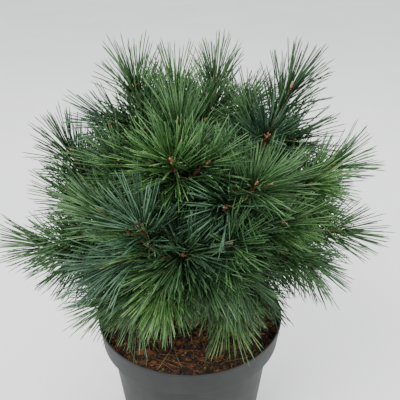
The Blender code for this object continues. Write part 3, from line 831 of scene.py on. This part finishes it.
@dataclass
class Soil:
    """The soil's crumbly top and what lies on it: crumbs, bark chips, moss and dead needles."""

    pot: Pot
    level: float = field(default_factory=lambda: float(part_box("soil")[1][2]))
    mound: float = 3 * MM
    clearance: float = 0.5 * MM
    rings: int = 110
    sides: int = 260
    centre_share: float = 0.0004
    foot_inset: float = 3 * MM
    seed: int = 5

    # The relief's cells and heights, how deep it sits, and how it calms down towards the trunk
    clod: float = 9 * MM
    clod_height: float = 1.5 * MM
    crumb: float = 2.6 * MM
    crumb_height: float = 0.9 * MM
    sink: float = 0.8 * MM
    calm_radius: float = 14 * MM
    calm_run: float = 12 * MM
    calm_least: float = 0.25

    # What lies on the soil keeps off the wall and the trunk
    wall_keep: float = 3 * MM
    trunk_keep: float = 16 * MM

    # A lump's section, breadths, unevenness and tilt in radians, and its lift as a share of its thickness
    lump_sides: int = 8
    lump_girths: tuple[float, ...] = (0.45, 1.0, 0.9, 0.4)
    lump_heights: tuple[float, ...] = (-0.9, -0.25, 0.45, 0.95)
    lump_breadths: tuple[float, float] = (0.45, 0.9)
    lump_uneven: float = 0.22
    lump_tilt: float = 0.45
    lump_lift: float = 0.5

    # The dead needles
    litter: int = 210
    litter_seed: int = 9
    litter_trunk_keep: float = 22 * MM
    litter_rim_keep: float = 5 * MM
    litter_lengths: tuple[float, float] = (26 * MM, 60 * MM)
    litter_width: float = 0.95 * MM
    litter_rise: float = 0.10
    litter_fall: float = 0.7
    litter_bend: float = 0.16
    litter_lift: float = 1.0 * MM
    litter_roll: float = 6.0
    straw_share: float = 0.4

    @property
    def edge(self) -> float:
        """The pot's inner radius where the soil meets it."""
        return self.pot.inner_radius(self.level - self.mound)

    def surface(self, places: Array) -> Array:
        """The soil's height.

        Args:
            places: level positions in metres.

        Returns:
            A low mound, level - mound*(r/R)^2, with clods and crumbs of noise on it that calm down
            at the trunk's foot.
        """
        radius = np.linalg.norm(places, axis=-1)
        flat = np.concatenate([places, np.zeros((*places.shape[:-1], 1))], -1)
        clods = lattice_noise(flat, self.clod, Noise.CLODS) * self.clod_height
        crumbs = np.abs(lattice_noise(flat, self.crumb, Noise.CRUMBS)) * self.crumb_height
        calm = np.clip((radius - self.calm_radius) / self.calm_run, self.calm_least, 1.0)
        fall = self.mound * (radius / (self.edge - self.clearance)) ** 2
        return self.level - fall + (clods + crumbs - self.sink) * calm

    def build_ground(self) -> bpy.types.Object:
        """Make the soil as one closed body.

        Returns:
            The soil's piece: a polar grid over the top, a wall just inside the pot and a flat underside.
        """
        radii = (self.edge - self.clearance) * np.sqrt(np.linspace(self.centre_share, 1, self.rings))
        level = radii[:, None, None] * circle(self.sides)
        top = np.concatenate([level, self.surface(level)[..., None]], -1)
        collar_foot = self.pot.height - self.pot.collar_height
        spare = self.pot.wall + self.clearance
        walls = (
            (self.pot.collar_foot_radius - spare, collar_foot + self.pot.step_top),
            (self.pot.body_top_radius - spare, collar_foot + self.pot.step_foot),
            (self.pot.base_radius - spare - self.foot_inset, self.pot.floor + self.clearance),
        )
        rows = np.concatenate([top, lathe(np.array(walls), self.sides)])
        faces = closed_faces(len(rows), self.sides)
        ground = add_piece("potting_soil", rows.reshape(-1, 3), faces, [POTTING_SOIL])
        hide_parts("soil")
        return ground

    def scatter(self, chance: np.random.Generator, count: int, keep: float) -> Array:
        """Draw places on the soil, even over its area, as points on its surface.

        Args:
            chance: the draws.
            count: how many places.
            keep: how near the trunk's axis they come.

        Returns:
            Points on the soil's surface.
        """
        reach = self.edge - self.wall_keep
        radius = np.sqrt(chance.uniform(keep**2, reach**2, count))
        turn = chance.uniform(0, 2 * math.pi, count)
        level = np.stack([radius * np.cos(turn), radius * np.sin(turn)], -1)
        return np.concatenate([level, self.surface(level)[:, None]], -1)

    def lay_lumps(self, kind: Lumps) -> bpy.types.Object:
        """Lay small irregular lumps on the soil.

        Args:
            kind: which lumps.

        Returns:
            One piece: each lump is an eight-sided double cone cut off at both ends, squeezed and
            turned at random.
        """
        chance = np.random.default_rng(self.seed + kind.seed)
        count, sides, rings = kind.count, self.lump_sides, len(self.lump_heights)
        centres = self.scatter(chance, count, self.trunk_keep)
        size = chance.uniform(*kind.sizes, count)
        breadth = chance.uniform(*self.lump_breadths, count)
        shape = np.stack([np.ones(count), breadth, chance.uniform(*kind.thickness, count)], -1)
        lump = lathe(np.stack([self.lump_girths, self.lump_heights], -1), sides).reshape(-1, 3)
        uneven = 1 + chance.uniform(-self.lump_uneven, self.lump_uneven, (count, len(lump), 1))
        body = lump[None] * uneven * shape[:, None]
        yaw = chance.uniform(0, 2 * math.pi, count)
        tilt = chance.uniform(-self.lump_tilt, self.lump_tilt, count)
        along, rise = rotate(body[..., 0], body[..., 2], tilt)
        turned = np.stack([*rotate(along, body[..., 1], yaw), rise], -1)
        lift = UPRIGHT * (size * shape[:, 2] * self.lump_lift)[:, None]
        points = (centres + lift)[:, None] + turned * size[:, None, None]
        ends = np.stack([np.arange(sides)[::-1], (rings - 1) * sides + np.arange(sides)])
        faces = [repeat_faces(part, count, len(lump)) for part in (ring_quads(rings, sides), ends)]
        piece = add_piece(kind.name, points.reshape(-1, 3), faces, [kind.finish])
        return piece

    def lay_litter(self) -> bpy.types.Object:
        """Lay dead needles on the soil.

        Returns:
            One piece: needles that lie nearly level, bent a little, inside the pot's rim. A needle's
            sides and its ends draw their colours apart.
        """
        chance = np.random.default_rng(self.seed + self.litter_seed)
        roots = self.scatter(chance, self.litter, self.litter_trunk_keep)
        turn = chance.uniform(0, 2 * math.pi, self.litter)
        rise = chance.uniform(0.0, self.litter_rise, self.litter)
        aims = unit(np.stack([np.cos(turn), np.sin(turn), rise], -1))
        lengths = chance.uniform(*self.litter_lengths, self.litter)
        aside = np.stack([-np.sin(turn), np.cos(turn), np.zeros(self.litter)], -1)
        bends = self.litter_bend * chance.uniform(-1, 1, (self.litter, 1)) * aside
        bends[:, 2] -= rise * self.litter_fall
        tips = roots + lengths[:, None] * (aims + bends)
        inside = np.hypot(tips[:, 0], tips[:, 1]) < self.pot.rim_radius - self.litter_rim_keep
        roots, aims, bends, lengths = (part[inside] for part in (roots, aims, bends, lengths))
        roots[:, 2] += self.litter_lift
        count = len(roots)
        rolls = chance.uniform(0, self.litter_roll, count)
        points, faces = Needles(width=self.litter_width).shapes(roots, aims, bends, lengths, rolls)
        slots = np.concatenate(
            [np.repeat(chance.random(count) < self.straw_share, len(group) // count) for group in faces]
        )
        piece = add_piece("dead_needles", points, faces, [DEAD_NEEDLE, STRAW_NEEDLE], slots, smooth=False)
        return piece

    def build(self) -> None:
        """Make the soil and all that lies on it."""
        self.build_ground()
        for kind in SOIL_LUMPS:
            self.lay_lumps(kind)
        self.lay_litter()


@dataclass
class Wood:
    """The trunk and the boughs, with bark in relief, by the rule of their solids."""

    soil_level: float = 171 * MM
    piece_gap: float = 0.3 * MM
    flare_radius: float = 16.5 * MM
    flare_height: float = 12 * MM
    foot_radius: float = 9.2 * MM
    lobes: int = 5
    lobe_depth: float = 0.16
    lobe_rings: int = 10
    root_share: float = 0.45
    least_radius: float = 2.7 * MM
    root_pitch: float = 38.0
    root_pull: float = 0.7
    end_pull: float = 0.9
    lowest_root: float = 193 * MM
    root_step: float = 5.8 * MM
    shoot_root_radius: float = 2.6 * MM
    rule_rings: int = 11
    trunk_rings: int = 170
    trunk_sides: int = 56
    bough_rings: int = 64
    bough_sides: int = 20
    collar: float = 0.55
    collar_run: float = 0.10
    scale_size: float = 3.4 * MM
    scale_depth: float = 0.75 * MM
    scale_stretch: float = 0.55
    fine_share: float = 0.4
    fine_depth: float = 0.35
    knot_size: float = 11 * MM
    knot_depth: float = 0.9 * MM
    bough_relief: float = 0.5
    relief_start: float = 2 * MM

    def trunk(self, stem: Array, axis: Array) -> Limb:
        """The trunk's path to the foot of the topmost mass.

        Args:
            stem: the topmost mass's stem.
            axis: that stem's direction.

        Returns:
            The trunk, whose radius is a straight taper plus a flare that fades with height.
        """
        foot = np.array((0.0, 0.0, self.soil_level + self.piece_gap))
        top = stem - self.piece_gap * axis
        height = top[2] - foot[2]
        path, tangents = hermite(foot, height * UPRIGHT, top, height * axis, self.trunk_rings)
        rise = path[:, 2] - foot[2]
        taper = self.foot_radius + (self.shoot_root_radius - self.foot_radius) * rise / height
        flare = (self.flare_radius - self.foot_radius) * np.exp(-rise / self.flare_height)
        return Limb("trunk", path, tangents, taper + flare)

    def bough(self, name: str, stem: Array, axis: Array, trunk: Limb, place: int) -> Limb:
        """One bough's path from the trunk's axis to its mass.

        Args:
            name: the mass's name.
            stem: the mass's stem.
            axis: that stem's direction.
            trunk: the trunk.
            place: the bough's place in their order up the trunk.

        Returns:
            The bough, with a straight taper.
        """
        height = self.lowest_root + place * self.root_step
        marks = np.linspace(0, self.trunk_rings - 1, self.rule_rings).round().astype(int)
        rule = trunk.path[marks]
        root = np.array([np.interp(height, rule[:, 2], rule[:, axis_number]) for axis_number in range(3)])
        end = stem - self.piece_gap * axis
        out = end - root
        reach = np.linalg.norm(out)
        bearing = math.degrees(math.atan2(out[1], out[0]))
        leaving = self.root_pull * reach * direction(bearing, self.root_pitch)
        path, tangents = hermite(root, leaving, end, self.end_pull * reach * axis, self.bough_rings)
        trunk_radius = np.interp(height, rule[:, 2], trunk.radii[marks])
        foot = max(self.root_share * trunk_radius, self.least_radius)
        radii = np.linspace(foot, self.shoot_root_radius, self.bough_rings)
        return Limb(f"bough_{name}", path, tangents, radii)

    def relief(self, points: Array, outward: Array, depth: float) -> Array:
        """Raise bark scales and knots on a limb.

        Args:
            points: the limb's points.
            outward: their outward directions.
            depth: how strong the relief is, as a share of its full depth.

        Returns:
            The points moved out by ridged noise, 1-2|n|, at the size of a scale, drawn out upwards, and
            by smooth noise at the size of a knot.
        """
        drawn = points * np.array((1.0, 1.0, self.scale_stretch))
        scales = 1 - 2 * np.abs(lattice_noise(drawn, self.scale_size, Noise.SCALES))
        fine = self.fine_depth * lattice_noise(points, self.scale_size * self.fine_share, Noise.FINE_SCALES)
        knots = lattice_noise(points, self.knot_size, Noise.KNOTS)
        lift = depth / 2 * ((scales + fine) * self.scale_depth + knots * self.knot_depth)
        return points + lift[..., None] * outward

    def build(self, trunk: Limb, boughs: list[Limb]) -> bpy.types.Object:
        """Make the bark of the trunk and all the boughs.

        Args:
            trunk: the trunk.
            boughs: the boughs.

        Returns:
            One piece of closed limbs, which stands for the trunk's and the boughs' solids.
        """
        count = self.trunk_sides * self.trunk_rings
        points, faces, outward = tubes(
            trunk.path[None], trunk.tangents[None], trunk.radii[None], self.trunk_sides
        )
        skin = points[:count].reshape(self.trunk_rings, self.trunk_sides, 3)
        turns = 2 * math.pi * np.arange(self.trunk_sides) / self.trunk_sides
        share = np.linspace(0, self.lobe_rings, self.trunk_rings)
        lobes = 1 + self.lobe_depth * np.exp(-share)[:, None] * np.cos(self.lobes * turns)
        skin = trunk.path[:, None] + (skin - trunk.path[:, None]) * lobes[..., None]
        fade = np.clip((skin[..., 2:] - self.soil_level) / self.relief_start, 0, 1)
        skin = skin + fade * (self.relief(skin, outward[0], 1.0) - skin)
        points[:count] = skin.reshape(-1, 3)
        paths = np.stack([limb.path for limb in boughs])
        tangents = np.stack([limb.tangents for limb in boughs])
        radii = np.stack([limb.radii for limb in boughs])
        along = np.linspace(0, 1, self.bough_rings)
        radii = radii * (1 + self.collar * np.exp(-along / self.collar_run))
        more, more_faces, more_out = tubes(paths, tangents, radii, self.bough_sides)
        size = self.bough_rings * self.bough_sides
        more = more.reshape(len(boughs), size + 2, 3)
        bent = self.relief(more[:, :size].reshape(more_out.shape), more_out, self.bough_relief)
        more[:, :size] = bent.reshape(len(boughs), size, 3)
        all_faces = [faces[0], faces[1], more_faces[0] + len(points), more_faces[1] + len(points)]
        wood = add_piece("bark", np.concatenate([points, more.reshape(-1, 3)]), all_faces, [OLD_BARK])
        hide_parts("trunk", *[limb.name for limb in boughs])
        return wood


@dataclass
class Buds:
    """The resting buds: a pointed one on each shoot's tip, in a ring of smaller ones."""

    seed: int = 27
    sink: float = 5.5 * MM
    length: float = 8 * MM
    girth: float = 1.9 * MM
    side_buds: int = 4
    side_jitter: float = 0.4
    side_offset: float = 0.8 * MM
    side_lean: float = 0.55
    side_length: float = 5 * MM
    side_spread: tuple[float, float] = (0.8, 1.1)
    side_girth: float = 1.2 * MM
    rings: int = 7
    sides: int = 8
    belly: float = 0.7
    fullness: float = 0.8
    point: float = 0.06

    def build(self, shoots: list[Shoot]) -> bpy.types.Object:
        """Set the buds on the shoots that have them.

        Args:
            shoots: the shoots.

        Returns:
            One piece: each bud is a circle carried along its axis, with radius R*sin(pi*s^0.7)^0.8.
        """
        chance = random.Random(self.seed)
        buds = []
        for shoot in (shoot for shoot in shoots if shoot.budded):
            base = shoot.tip - self.sink * shoot.axis
            buds.append((base, shoot.axis, self.length, self.girth))
            for number in range(self.side_buds):
                turn = 2 * math.pi * number / self.side_buds
                turn += chance.uniform(-self.side_jitter, self.side_jitter)
                side = swing(turn, *across(shoot.axis))
                length = self.side_length * chance.uniform(*self.side_spread)
                aim = unit(shoot.axis + self.side_lean * side)
                buds.append((base + self.side_offset * side, aim, length, self.side_girth))
        feet, aims, lengths, girths = (np.array(part) for part in zip(*buds))
        share = np.linspace(0, 1, self.rings)
        paths = feet[:, None] + share[:, None] * (lengths[:, None] * aims)[:, None]
        swell = np.maximum(np.sin(math.pi * share**self.belly), 0) ** self.fullness
        radii = girths[:, None] * np.maximum(swell, self.point)
        points, faces, _ = tubes(paths, np.broadcast_to(aims[:, None], paths.shape), radii, self.sides)
        piece = add_piece("buds", points, faces, [BUD_SCALE])
        return piece


@dataclass
class Foliage:
    """The shoots and needles of every mass, by the rule of their solids and on to finer twigs."""

    pot: Pot
    wood: Wood
    seed: int = 27
    stem_below_whorl: float = 14 * MM
    side_length: float = 0.88
    side_bare_foot: float = 0.18
    side_foot_radius: float = 1.7 * MM
    fork: float = 50.0
    jitter: float = 6.0
    draws_in_shoot: int = 27

    # The bark of the shoots, which are cut down to a share of their radius at the end, under the bud
    shoot_rings: int = 12
    shoot_sides: int = 10
    tip_radius: float = 1.5 * MM
    shoot_end: float = 4 * MM
    end_share: float = 0.55
    knob_size: float = 2.2 * MM
    knob_height: float = 0.35 * MM

    # The twigs of the boughs' outer halves, with places and lengths as shares
    twig_places: tuple[float, ...] = (0.56, 0.74, 0.90)
    twig_length: float = 34 * MM
    twig_spread: tuple[float, float] = (0.7, 1.1)
    twig_fork: float = 58.0
    twig_jitter: float = 8.0
    twig_radius: float = 1.3 * MM
    twig_bundles_per_mm: float = 0.65
    twig_bare_foot: float = 0.15
    twig_age: float = 0.35
    # Share of twigs whose needles take the deep green, the rest bluish: partly the darker tone of older
    # needles, partly painted shade inside the crown.
    twig_deep_and_shade_share: float = 0.6

    # The needles on the boughs themselves, all deep green: partly the darker tone of old needles, partly
    # painted shade inside the crown
    bough_rings_step: int = 3
    bough_bundles_per_mm: float = 0.7
    bough_age: float = 0.9
    bough_seed: int = 1000

    # How bundles stand on the wood: angles in degrees, their turn's jitter in radians
    open_angle: float = 52.0
    closed_angle: float = 16.0
    angle_jitter: float = 6.0
    closing_power: float = 1.5
    old_opening: float = 0.75
    place_jitter: tuple[float, float] = (0.2, 0.8)
    turn_jitter: float = 0.25
    root_lift: float = 1.0 * MM
    bare_tip: float = 3 * MM

    # The needles of a bundle: spread in degrees, the rest as shares of the needle's length
    needles_in_bundle: int = 5
    bundle_spread: float = 6.5
    spread_range: tuple[float, float] = (0.5, 1.5)
    needle_length: float = 55 * MM
    old_needle_length: float = 46 * MM
    length_jitter: float = 0.12
    bend: float = 0.05
    sag: float = 0.05
    blade: Needles = field(default_factory=Needles)

    # A needle that comes nearer to the soil and the pot, at these shares, or leaves the box is left out
    soil_margin: float = 1.5 * MM
    soil_rise: float = 2 * MM
    box_spare: float = 3 * MM
    tested_shares: tuple[float, ...] = (0.3, 0.5, 0.7, 0.85, 1.0)

    # The straw-coloured needles that hang from the lowest boughs
    hanging_boughs: int = 9
    hanging_each: int = 7
    hanging_rings: tuple[int, int] = (12, 46)
    hanging_along: float = 0.6
    hanging_stray: float = 0.35
    hanging_fall: float = 0.9
    hanging_width: float = 0.8 * MM
    hanging_seed: int = 5000

    def grow(self) -> tuple[Limb, list[Limb], list[Shoot]]:
        """Grow the plant's limbs and shoots by the seeded rule of its solids.

        Returns:
            The trunk, the boughs and the shoots.
        """
        shoots: list[Shoot] = []
        stems: list[tuple[str, Array, Array]] = []
        for row in MASSES:
            chance = random.Random(f"{self.seed} {row.name}")
            axis = direction(row.bearing, row.pitch)
            tip = np.array(row.tip)
            whorl = tip - row.leader * axis
            stem = whorl - self.stem_below_whorl * axis
            stems.append((row.name, stem, axis))
            shoots.append(Shoot(stem, tip, self.wood.shoot_root_radius, row.name))
            self.pass_over(chance)
            for roll, share in row.sides:
                turned = roll + chance.uniform(-self.jitter, self.jitter)
                fork = math.radians(self.fork + chance.uniform(-self.jitter, self.jitter))
                aim = math.cos(fork) * axis + math.sin(fork) * around(axis, turned)
                end = whorl + row.leader * share * self.side_length * aim
                shoots.append(
                    Shoot(whorl, end, self.side_foot_radius, row.name, bare_foot=self.side_bare_foot)
                )
                self.pass_over(chance)
        trunk = self.wood.trunk(stems[0][1], stems[0][2])
        boughs = [
            self.wood.bough(name, stem, axis, trunk, place)
            for place, (name, stem, axis) in enumerate(stems[1:])
        ]
        for limb in boughs:
            shoots += self.finer_twigs(limb)
        return trunk, boughs, shoots

    def pass_over(self, chance: random.Random) -> None:
        """Make the draws that the solids' sprays take, so that the next shoot's draws match."""
        for _ in range(1 + self.draws_in_shoot):
            chance.random()

    def finer_twigs(self, bough: Limb) -> list[Shoot]:
        """Grow short twigs from a bough's outer half.

        Args:
            bough: the bough.

        Returns:
            Twigs set round the bough by the golden angle.
        """
        chance = random.Random(f"{self.seed} {bough.name}")
        mass = bough.name.removeprefix("bough_")
        twigs = []
        for number, share in enumerate(self.twig_places):
            ring = int(share * (len(bough.path) - 1))
            foot, axis = bough.path[ring], bough.tangents[ring]
            roll = number * math.degrees(GOLDEN_ANGLE) + chance.uniform(0, 360)
            fork = math.radians(self.twig_fork + chance.uniform(-self.twig_jitter, self.twig_jitter))
            aim = math.cos(fork) * axis + math.sin(fork) * around(axis, roll)
            tip = foot + self.twig_length * chance.uniform(*self.twig_spread) * aim
            clothing = (self.twig_bundles_per_mm, self.twig_bare_foot)
            twigs.append(Shoot(foot, tip, self.twig_radius, mass, *clothing, budded=False))
        return twigs

    def build_shoots(self, shoots: list[Shoot]) -> bpy.types.Object:
        """Make the bark of the shoots and twigs.

        Args:
            shoots: the shoots.

        Returns:
            One piece of tapering, slightly knobbly shoots.
        """
        share = np.linspace(0, 1, self.shoot_rings)
        feet = np.stack([shoot.foot for shoot in shoots])
        tips = np.stack([shoot.tip for shoot in shoots])
        axes = unit(tips - feet)
        ends = tips - axes * self.shoot_end
        paths = feet[:, None] + share[:, None] * (ends - feet)[:, None]
        roots = np.array([shoot.foot_radius for shoot in shoots])
        tops = np.minimum(roots, self.tip_radius)
        radii = roots[:, None] + (tops - roots)[:, None] * share
        radii[:, -1] *= self.end_share
        tangents = np.broadcast_to(axes[:, None], paths.shape)
        points, faces, outward = tubes(paths, tangents, radii, self.shoot_sides)
        size = self.shoot_rings * self.shoot_sides
        points = points.reshape(len(shoots), size + 2, 3)
        skin = points[:, :size]
        knobs = lattice_noise(skin, self.knob_size, Noise.KNOBS) * self.knob_height
        points[:, :size] = skin + knobs[..., None] * outward.reshape(len(shoots), size, 3)
        piece = add_piece("shoots", points.reshape(-1, 3), faces, [YOUNG_BARK])
        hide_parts(*[row.name for row in MASSES])
        return piece

    def bundles(
        self, foot: Array, run: Array, count: int, chance: np.random.Generator, age: float
    ) -> tuple[Array, Array]:
        """Set bundles of needles round a stretch of wood.

        Args:
            foot: where the stretch starts.
            run: the vector along it.
            count: how many bundles.
            chance: the draws.
            age: from 0 for new wood, with closed-in needles at its tip, to 1 for old, spread ones.

        Returns:
            Roots and unit aims of the bundles. Bundle n stands at n golden angles round the wood, and its
            angle to the wood goes from the open to the closed one with the share along it.
        """
        axis = unit(run)
        share = (np.arange(count) + chance.uniform(*self.place_jitter, count)) / count
        turn = np.arange(count) * GOLDEN_ANGLE + chance.uniform(-self.turn_jitter, self.turn_jitter, count)
        out = swing(turn, *across(axis))
        closing = (1 - self.old_opening * age) * share**self.closing_power
        angle = np.radians(self.open_angle + (self.closed_angle - self.open_angle) * closing)
        angle = angle + np.radians(chance.normal(0, self.angle_jitter, count))
        return foot + share[:, None] * run + self.root_lift * out, swing(angle, axis, out)

    def needles_of(
        self, roots: Array, aims: Array, length: float, chance: np.random.Generator
    ) -> tuple[Array, ...]:
        """Spread each bundle into its needles.

        Args:
            roots: the bundles' roots.
            aims: their aims.
            length: the needles' usual length.
            chance: the draws.

        Returns:
            Roots, aims, bends, lengths and turns of the needles that clear the soil and the pot and
            stay in the solids' box.
        """
        count, each = len(roots), self.needles_in_bundle
        level, upper = across(aims)
        turn = chance.uniform(0, 2 * math.pi, (count, 1)) + np.arange(each) * 2 * math.pi / each
        spread = np.radians(self.bundle_spread * chance.uniform(*self.spread_range, (count, each)))
        side = swing(turn, level[:, None], upper[:, None])
        aim = unit(aims[:, None] + np.tan(spread)[..., None] * side).reshape(-1, 3)
        root = np.repeat(roots, each, 0)
        size = length * (1 + chance.uniform(-1, 1, count * each) * self.length_jitter)
        bend = self.bend * chance.normal(0, 1, (count * each, 3))
        bend -= (bend * aim).sum(-1, keepdims=True) * aim
        bend[:, 2] -= self.sag * np.hypot(aim[:, 0], aim[:, 1])
        roll = turn.ravel() + math.pi
        tip = root + size[:, None] * (aim + bend)
        low, high = np.array(CAD_BOX[0]) - self.box_spare, np.array(CAD_BOX[1]) + self.box_spare
        keep = ((tip > low) & (tip < high)).all(-1)
        for share in self.tested_shares:
            keep &= self.clears_pot(root + size[:, None] * (share * aim + share**2 * bend))
        return root[keep], aim[keep], bend[keep], size[keep], roll[keep]

    def clears_pot(self, points: Array) -> Array:
        """Test points against the soil and the pot.

        Args:
            points: the points.

        Returns:
            True where a point is above the soil and above or outside the pot's wall.
        """
        radius = np.hypot(points[:, 0], points[:, 1])
        inside = radius < self.pot.rim_radius - self.pot.wall - self.soil_margin
        on_wall = ~inside & (radius < self.pot.rim_radius + self.soil_margin)
        in_soil = inside & (points[:, 2] < self.wood.soil_level + self.soil_rise)
        return ~(in_soil | (on_wall & (points[:, 2] < self.pot.height + self.soil_margin)))

    def build_needles(self, shoots: list[Shoot], boughs: list[Limb]) -> None:
        """Clothe every shoot, twig and outer bough with needles, and join them by colour.

        Args:
            shoots: the shoots and twigs.
            boughs: the boughs.
        """
        greens = list(GREEN_WEIGHTS)
        weights = list(GREEN_WEIGHTS.values())
        dealt: dict[Green, list[tuple]] = {green: [] for green in Green}
        for number, shoot in enumerate(shoots):
            chance = np.random.default_rng([self.seed, number])
            green = greens[int(chance.choice(len(greens), p=weights))]
            if shoot.mass in BRIGHT_MASSES and shoot.foot_radius > self.side_foot_radius:
                green = Green.BRIGHT
            # Twig needles go mostly deep green, which is partly painted shade inside the crown.
            elif not shoot.budded:
                green = Green.DEEP if chance.random() < self.twig_deep_and_shade_share else Green.BLUISH
            count = int(shoot.length / MM * shoot.bundles_per_mm)
            foot = shoot.foot + shoot.bare_foot * (shoot.tip - shoot.foot)
            run = (shoot.tip - shoot.foot) * (1 - shoot.bare_foot) - shoot.axis * self.bare_tip
            roots, aims = self.bundles(foot, run, count, chance, 0.0 if shoot.budded else self.twig_age)
            length = self.needle_length if shoot.budded else self.old_needle_length
            dealt[green].append(self.needles_of(roots, aims, length, chance))
        step = self.bough_rings_step
        for number, limb in enumerate(boughs):
            chance = np.random.default_rng([self.seed, self.bough_seed + number])
            for ring in range(len(limb.path) // 2, len(limb.path) - step, step):
                run = limb.path[ring + step] - limb.path[ring]
                count = max(1, int(np.linalg.norm(run) / MM * self.bough_bundles_per_mm))
                roots, aims = self.bundles(limb.path[ring], run, count, chance, self.bough_age)
                # Deep green on the bough needles: partly painted shade inside the crown.
                dealt[Green.DEEP].append(self.needles_of(roots, aims, self.old_needle_length, chance))
        for green, groups in dealt.items():
            self.join(green, [np.concatenate(parts) for parts in zip(*groups)])

    def join(self, green: Green, parts: list[Array]) -> None:
        """Join the needles of one colour into pieces under the triangle limit.

        Args:
            green: the colour.
            parts: roots, aims, bends, lengths and turns of its needles.
        """
        count = len(parts[0])
        pieces = -(-count // self.blade.most_in_piece)
        for number, rows in enumerate(np.array_split(np.arange(count), pieces), 1):
            points, faces = self.blade.shapes(*[part[rows] for part in parts])
            finishes = list(NEEDLE_FINISHES[green])
            name = f"needles_{green.value}_{number}"
            piece = add_piece(name, points, faces, finishes, self.blade.slots(len(rows)), smooth=False)
            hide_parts(*[row.name for row in MASSES])

    def build_old_needles(self, boughs: list[Limb]) -> None:
        """Hang thin straw-coloured needles from the lowest boughs.

        Args:
            boughs: the boughs, lowest first.
        """
        chance = np.random.default_rng([self.seed, self.hanging_seed])
        groups = []
        for limb in boughs[: self.hanging_boughs]:
            rings = chance.integers(*self.hanging_rings, self.hanging_each)
            stray = self.hanging_stray * chance.normal(0, 1, (len(rings), 3))
            aims = unit(self.hanging_along * limb.tangents[rings] + stray - self.hanging_fall * UPRIGHT)
            groups.append(self.needles_of(limb.path[rings], aims, self.old_needle_length, chance))
        parts = [np.concatenate(part) for part in zip(*groups)]
        points, faces = Needles(width=self.hanging_width).shapes(*parts)
        piece = add_piece("old_needles", points, faces, [STRAW_NEEDLE], smooth=False)

    def build(self) -> None:
        """Build the wood, the shoots, the buds and the needles."""
        trunk, boughs, shoots = self.grow()
        self.wood.build(trunk, boughs)
        self.build_shoots(shoots)
        Buds(self.seed).build(shoots)
        self.build_needles(shoots, boughs)
        self.build_old_needles(boughs)


class Lamp(NamedTuple):
    """One square soft light: its place, the height that it faces on the axis, its side and its watts."""

    name: str
    place: tuple[float, float, float]
    aim_height: float
    side: float
    watts: float


@dataclass
class Studio:
    """A pale floor, soft light and the camera at the photograph's angle."""

    camera_place: tuple[float, float, float] = (0.012, -0.554, 0.622)
    camera_down: float = 27.6
    focal_pixels: float = 560.0
    frame_pixels: float = 400.0
    sensor: float = 36.0
    nearest: float = 10 * MM
    floor_half: float = 9.0
    sky_colour: str = "#f1f4f8"
    sky_strength: float = 1.5
    lamps: tuple[Lamp, ...] = (
        Lamp("key", (-0.9, -1.1, 1.9), 0.3, 1.1, 46),
        Lamp("fill", (1.4, -0.8, 1.0), 0.3, 1.2, 12),
        Lamp("top", (0.2, 0.7, 2.0), 0.35, 1.2, 20),
    )

    def build_camera(self) -> None:
        """Place the camera, whose lens is the sensor times the focal length over the frame, in pixels."""
        data = bpy.data.cameras.new("camera")
        data.sensor_width = self.sensor
        data.lens = self.sensor * self.focal_pixels / self.frame_pixels
        data.clip_start = self.nearest
        camera = link_object("camera", data)
        camera.location = self.camera_place
        camera.rotation_euler = (math.radians(90 - self.camera_down), 0, 0)
        bpy.context.scene.camera = camera

    def hang(self, lamp: Lamp) -> None:
        """Hang one light.

        Args:
            lamp: which light.
        """
        data = bpy.data.lights.new(lamp.name, "AREA")
        data.size = lamp.side
        data.energy = lamp.watts
        light = link_object(lamp.name, data)
        light.location = lamp.place
        away_x, away_y, rise = np.array(lamp.place) - lamp.aim_height * UPRIGHT
        lean = math.atan2(math.hypot(away_x, away_y), rise)
        light.rotation_euler = (lean, 0, math.atan2(away_y, away_x) + math.pi / 2)

    def build_floor(self) -> None:
        """Lay the floor: painted board, pale and plain."""
        half = self.floor_half
        points = [(-half, -half, 0), (half, -half, 0), (half, half, 0), (-half, half, 0)]
        mesh = bpy.data.meshes.new("floor")
        mesh.from_pydata(points, [], [(0, 1, 2, 3)])
        mesh.materials.append(FLOOR_BOARD.material())
        floor = link_object("floor", mesh)

    def build(self) -> None:
        """Build the stage."""
        world = bpy.context.scene.world or bpy.data.worlds.new("world")
        bpy.context.scene.world = world
        world.use_nodes = True
        sky = world.node_tree.nodes["Background"]
        sky.inputs["Color"].default_value = to_linear(self.sky_colour)
        sky.inputs["Strength"].default_value = self.sky_strength
        self.build_floor()
        for lamp in self.lamps:
            self.hang(lamp)
        self.build_camera()


def main() -> None:
    """Build every piece."""
    logging.basicConfig(level=logging.INFO, format="%(message)s")
    for thing in [thing for thing in bpy.data.objects if thing.type in ("LIGHT", "CAMERA")]:
        bpy.data.objects.remove(thing, do_unlink=True)
    pot = Pot()
    pot.build()
    Soil(pot).build()
    Foliage(pot, Wood()).build()
    Studio().build()


if __name__ == "__main__":
    main()
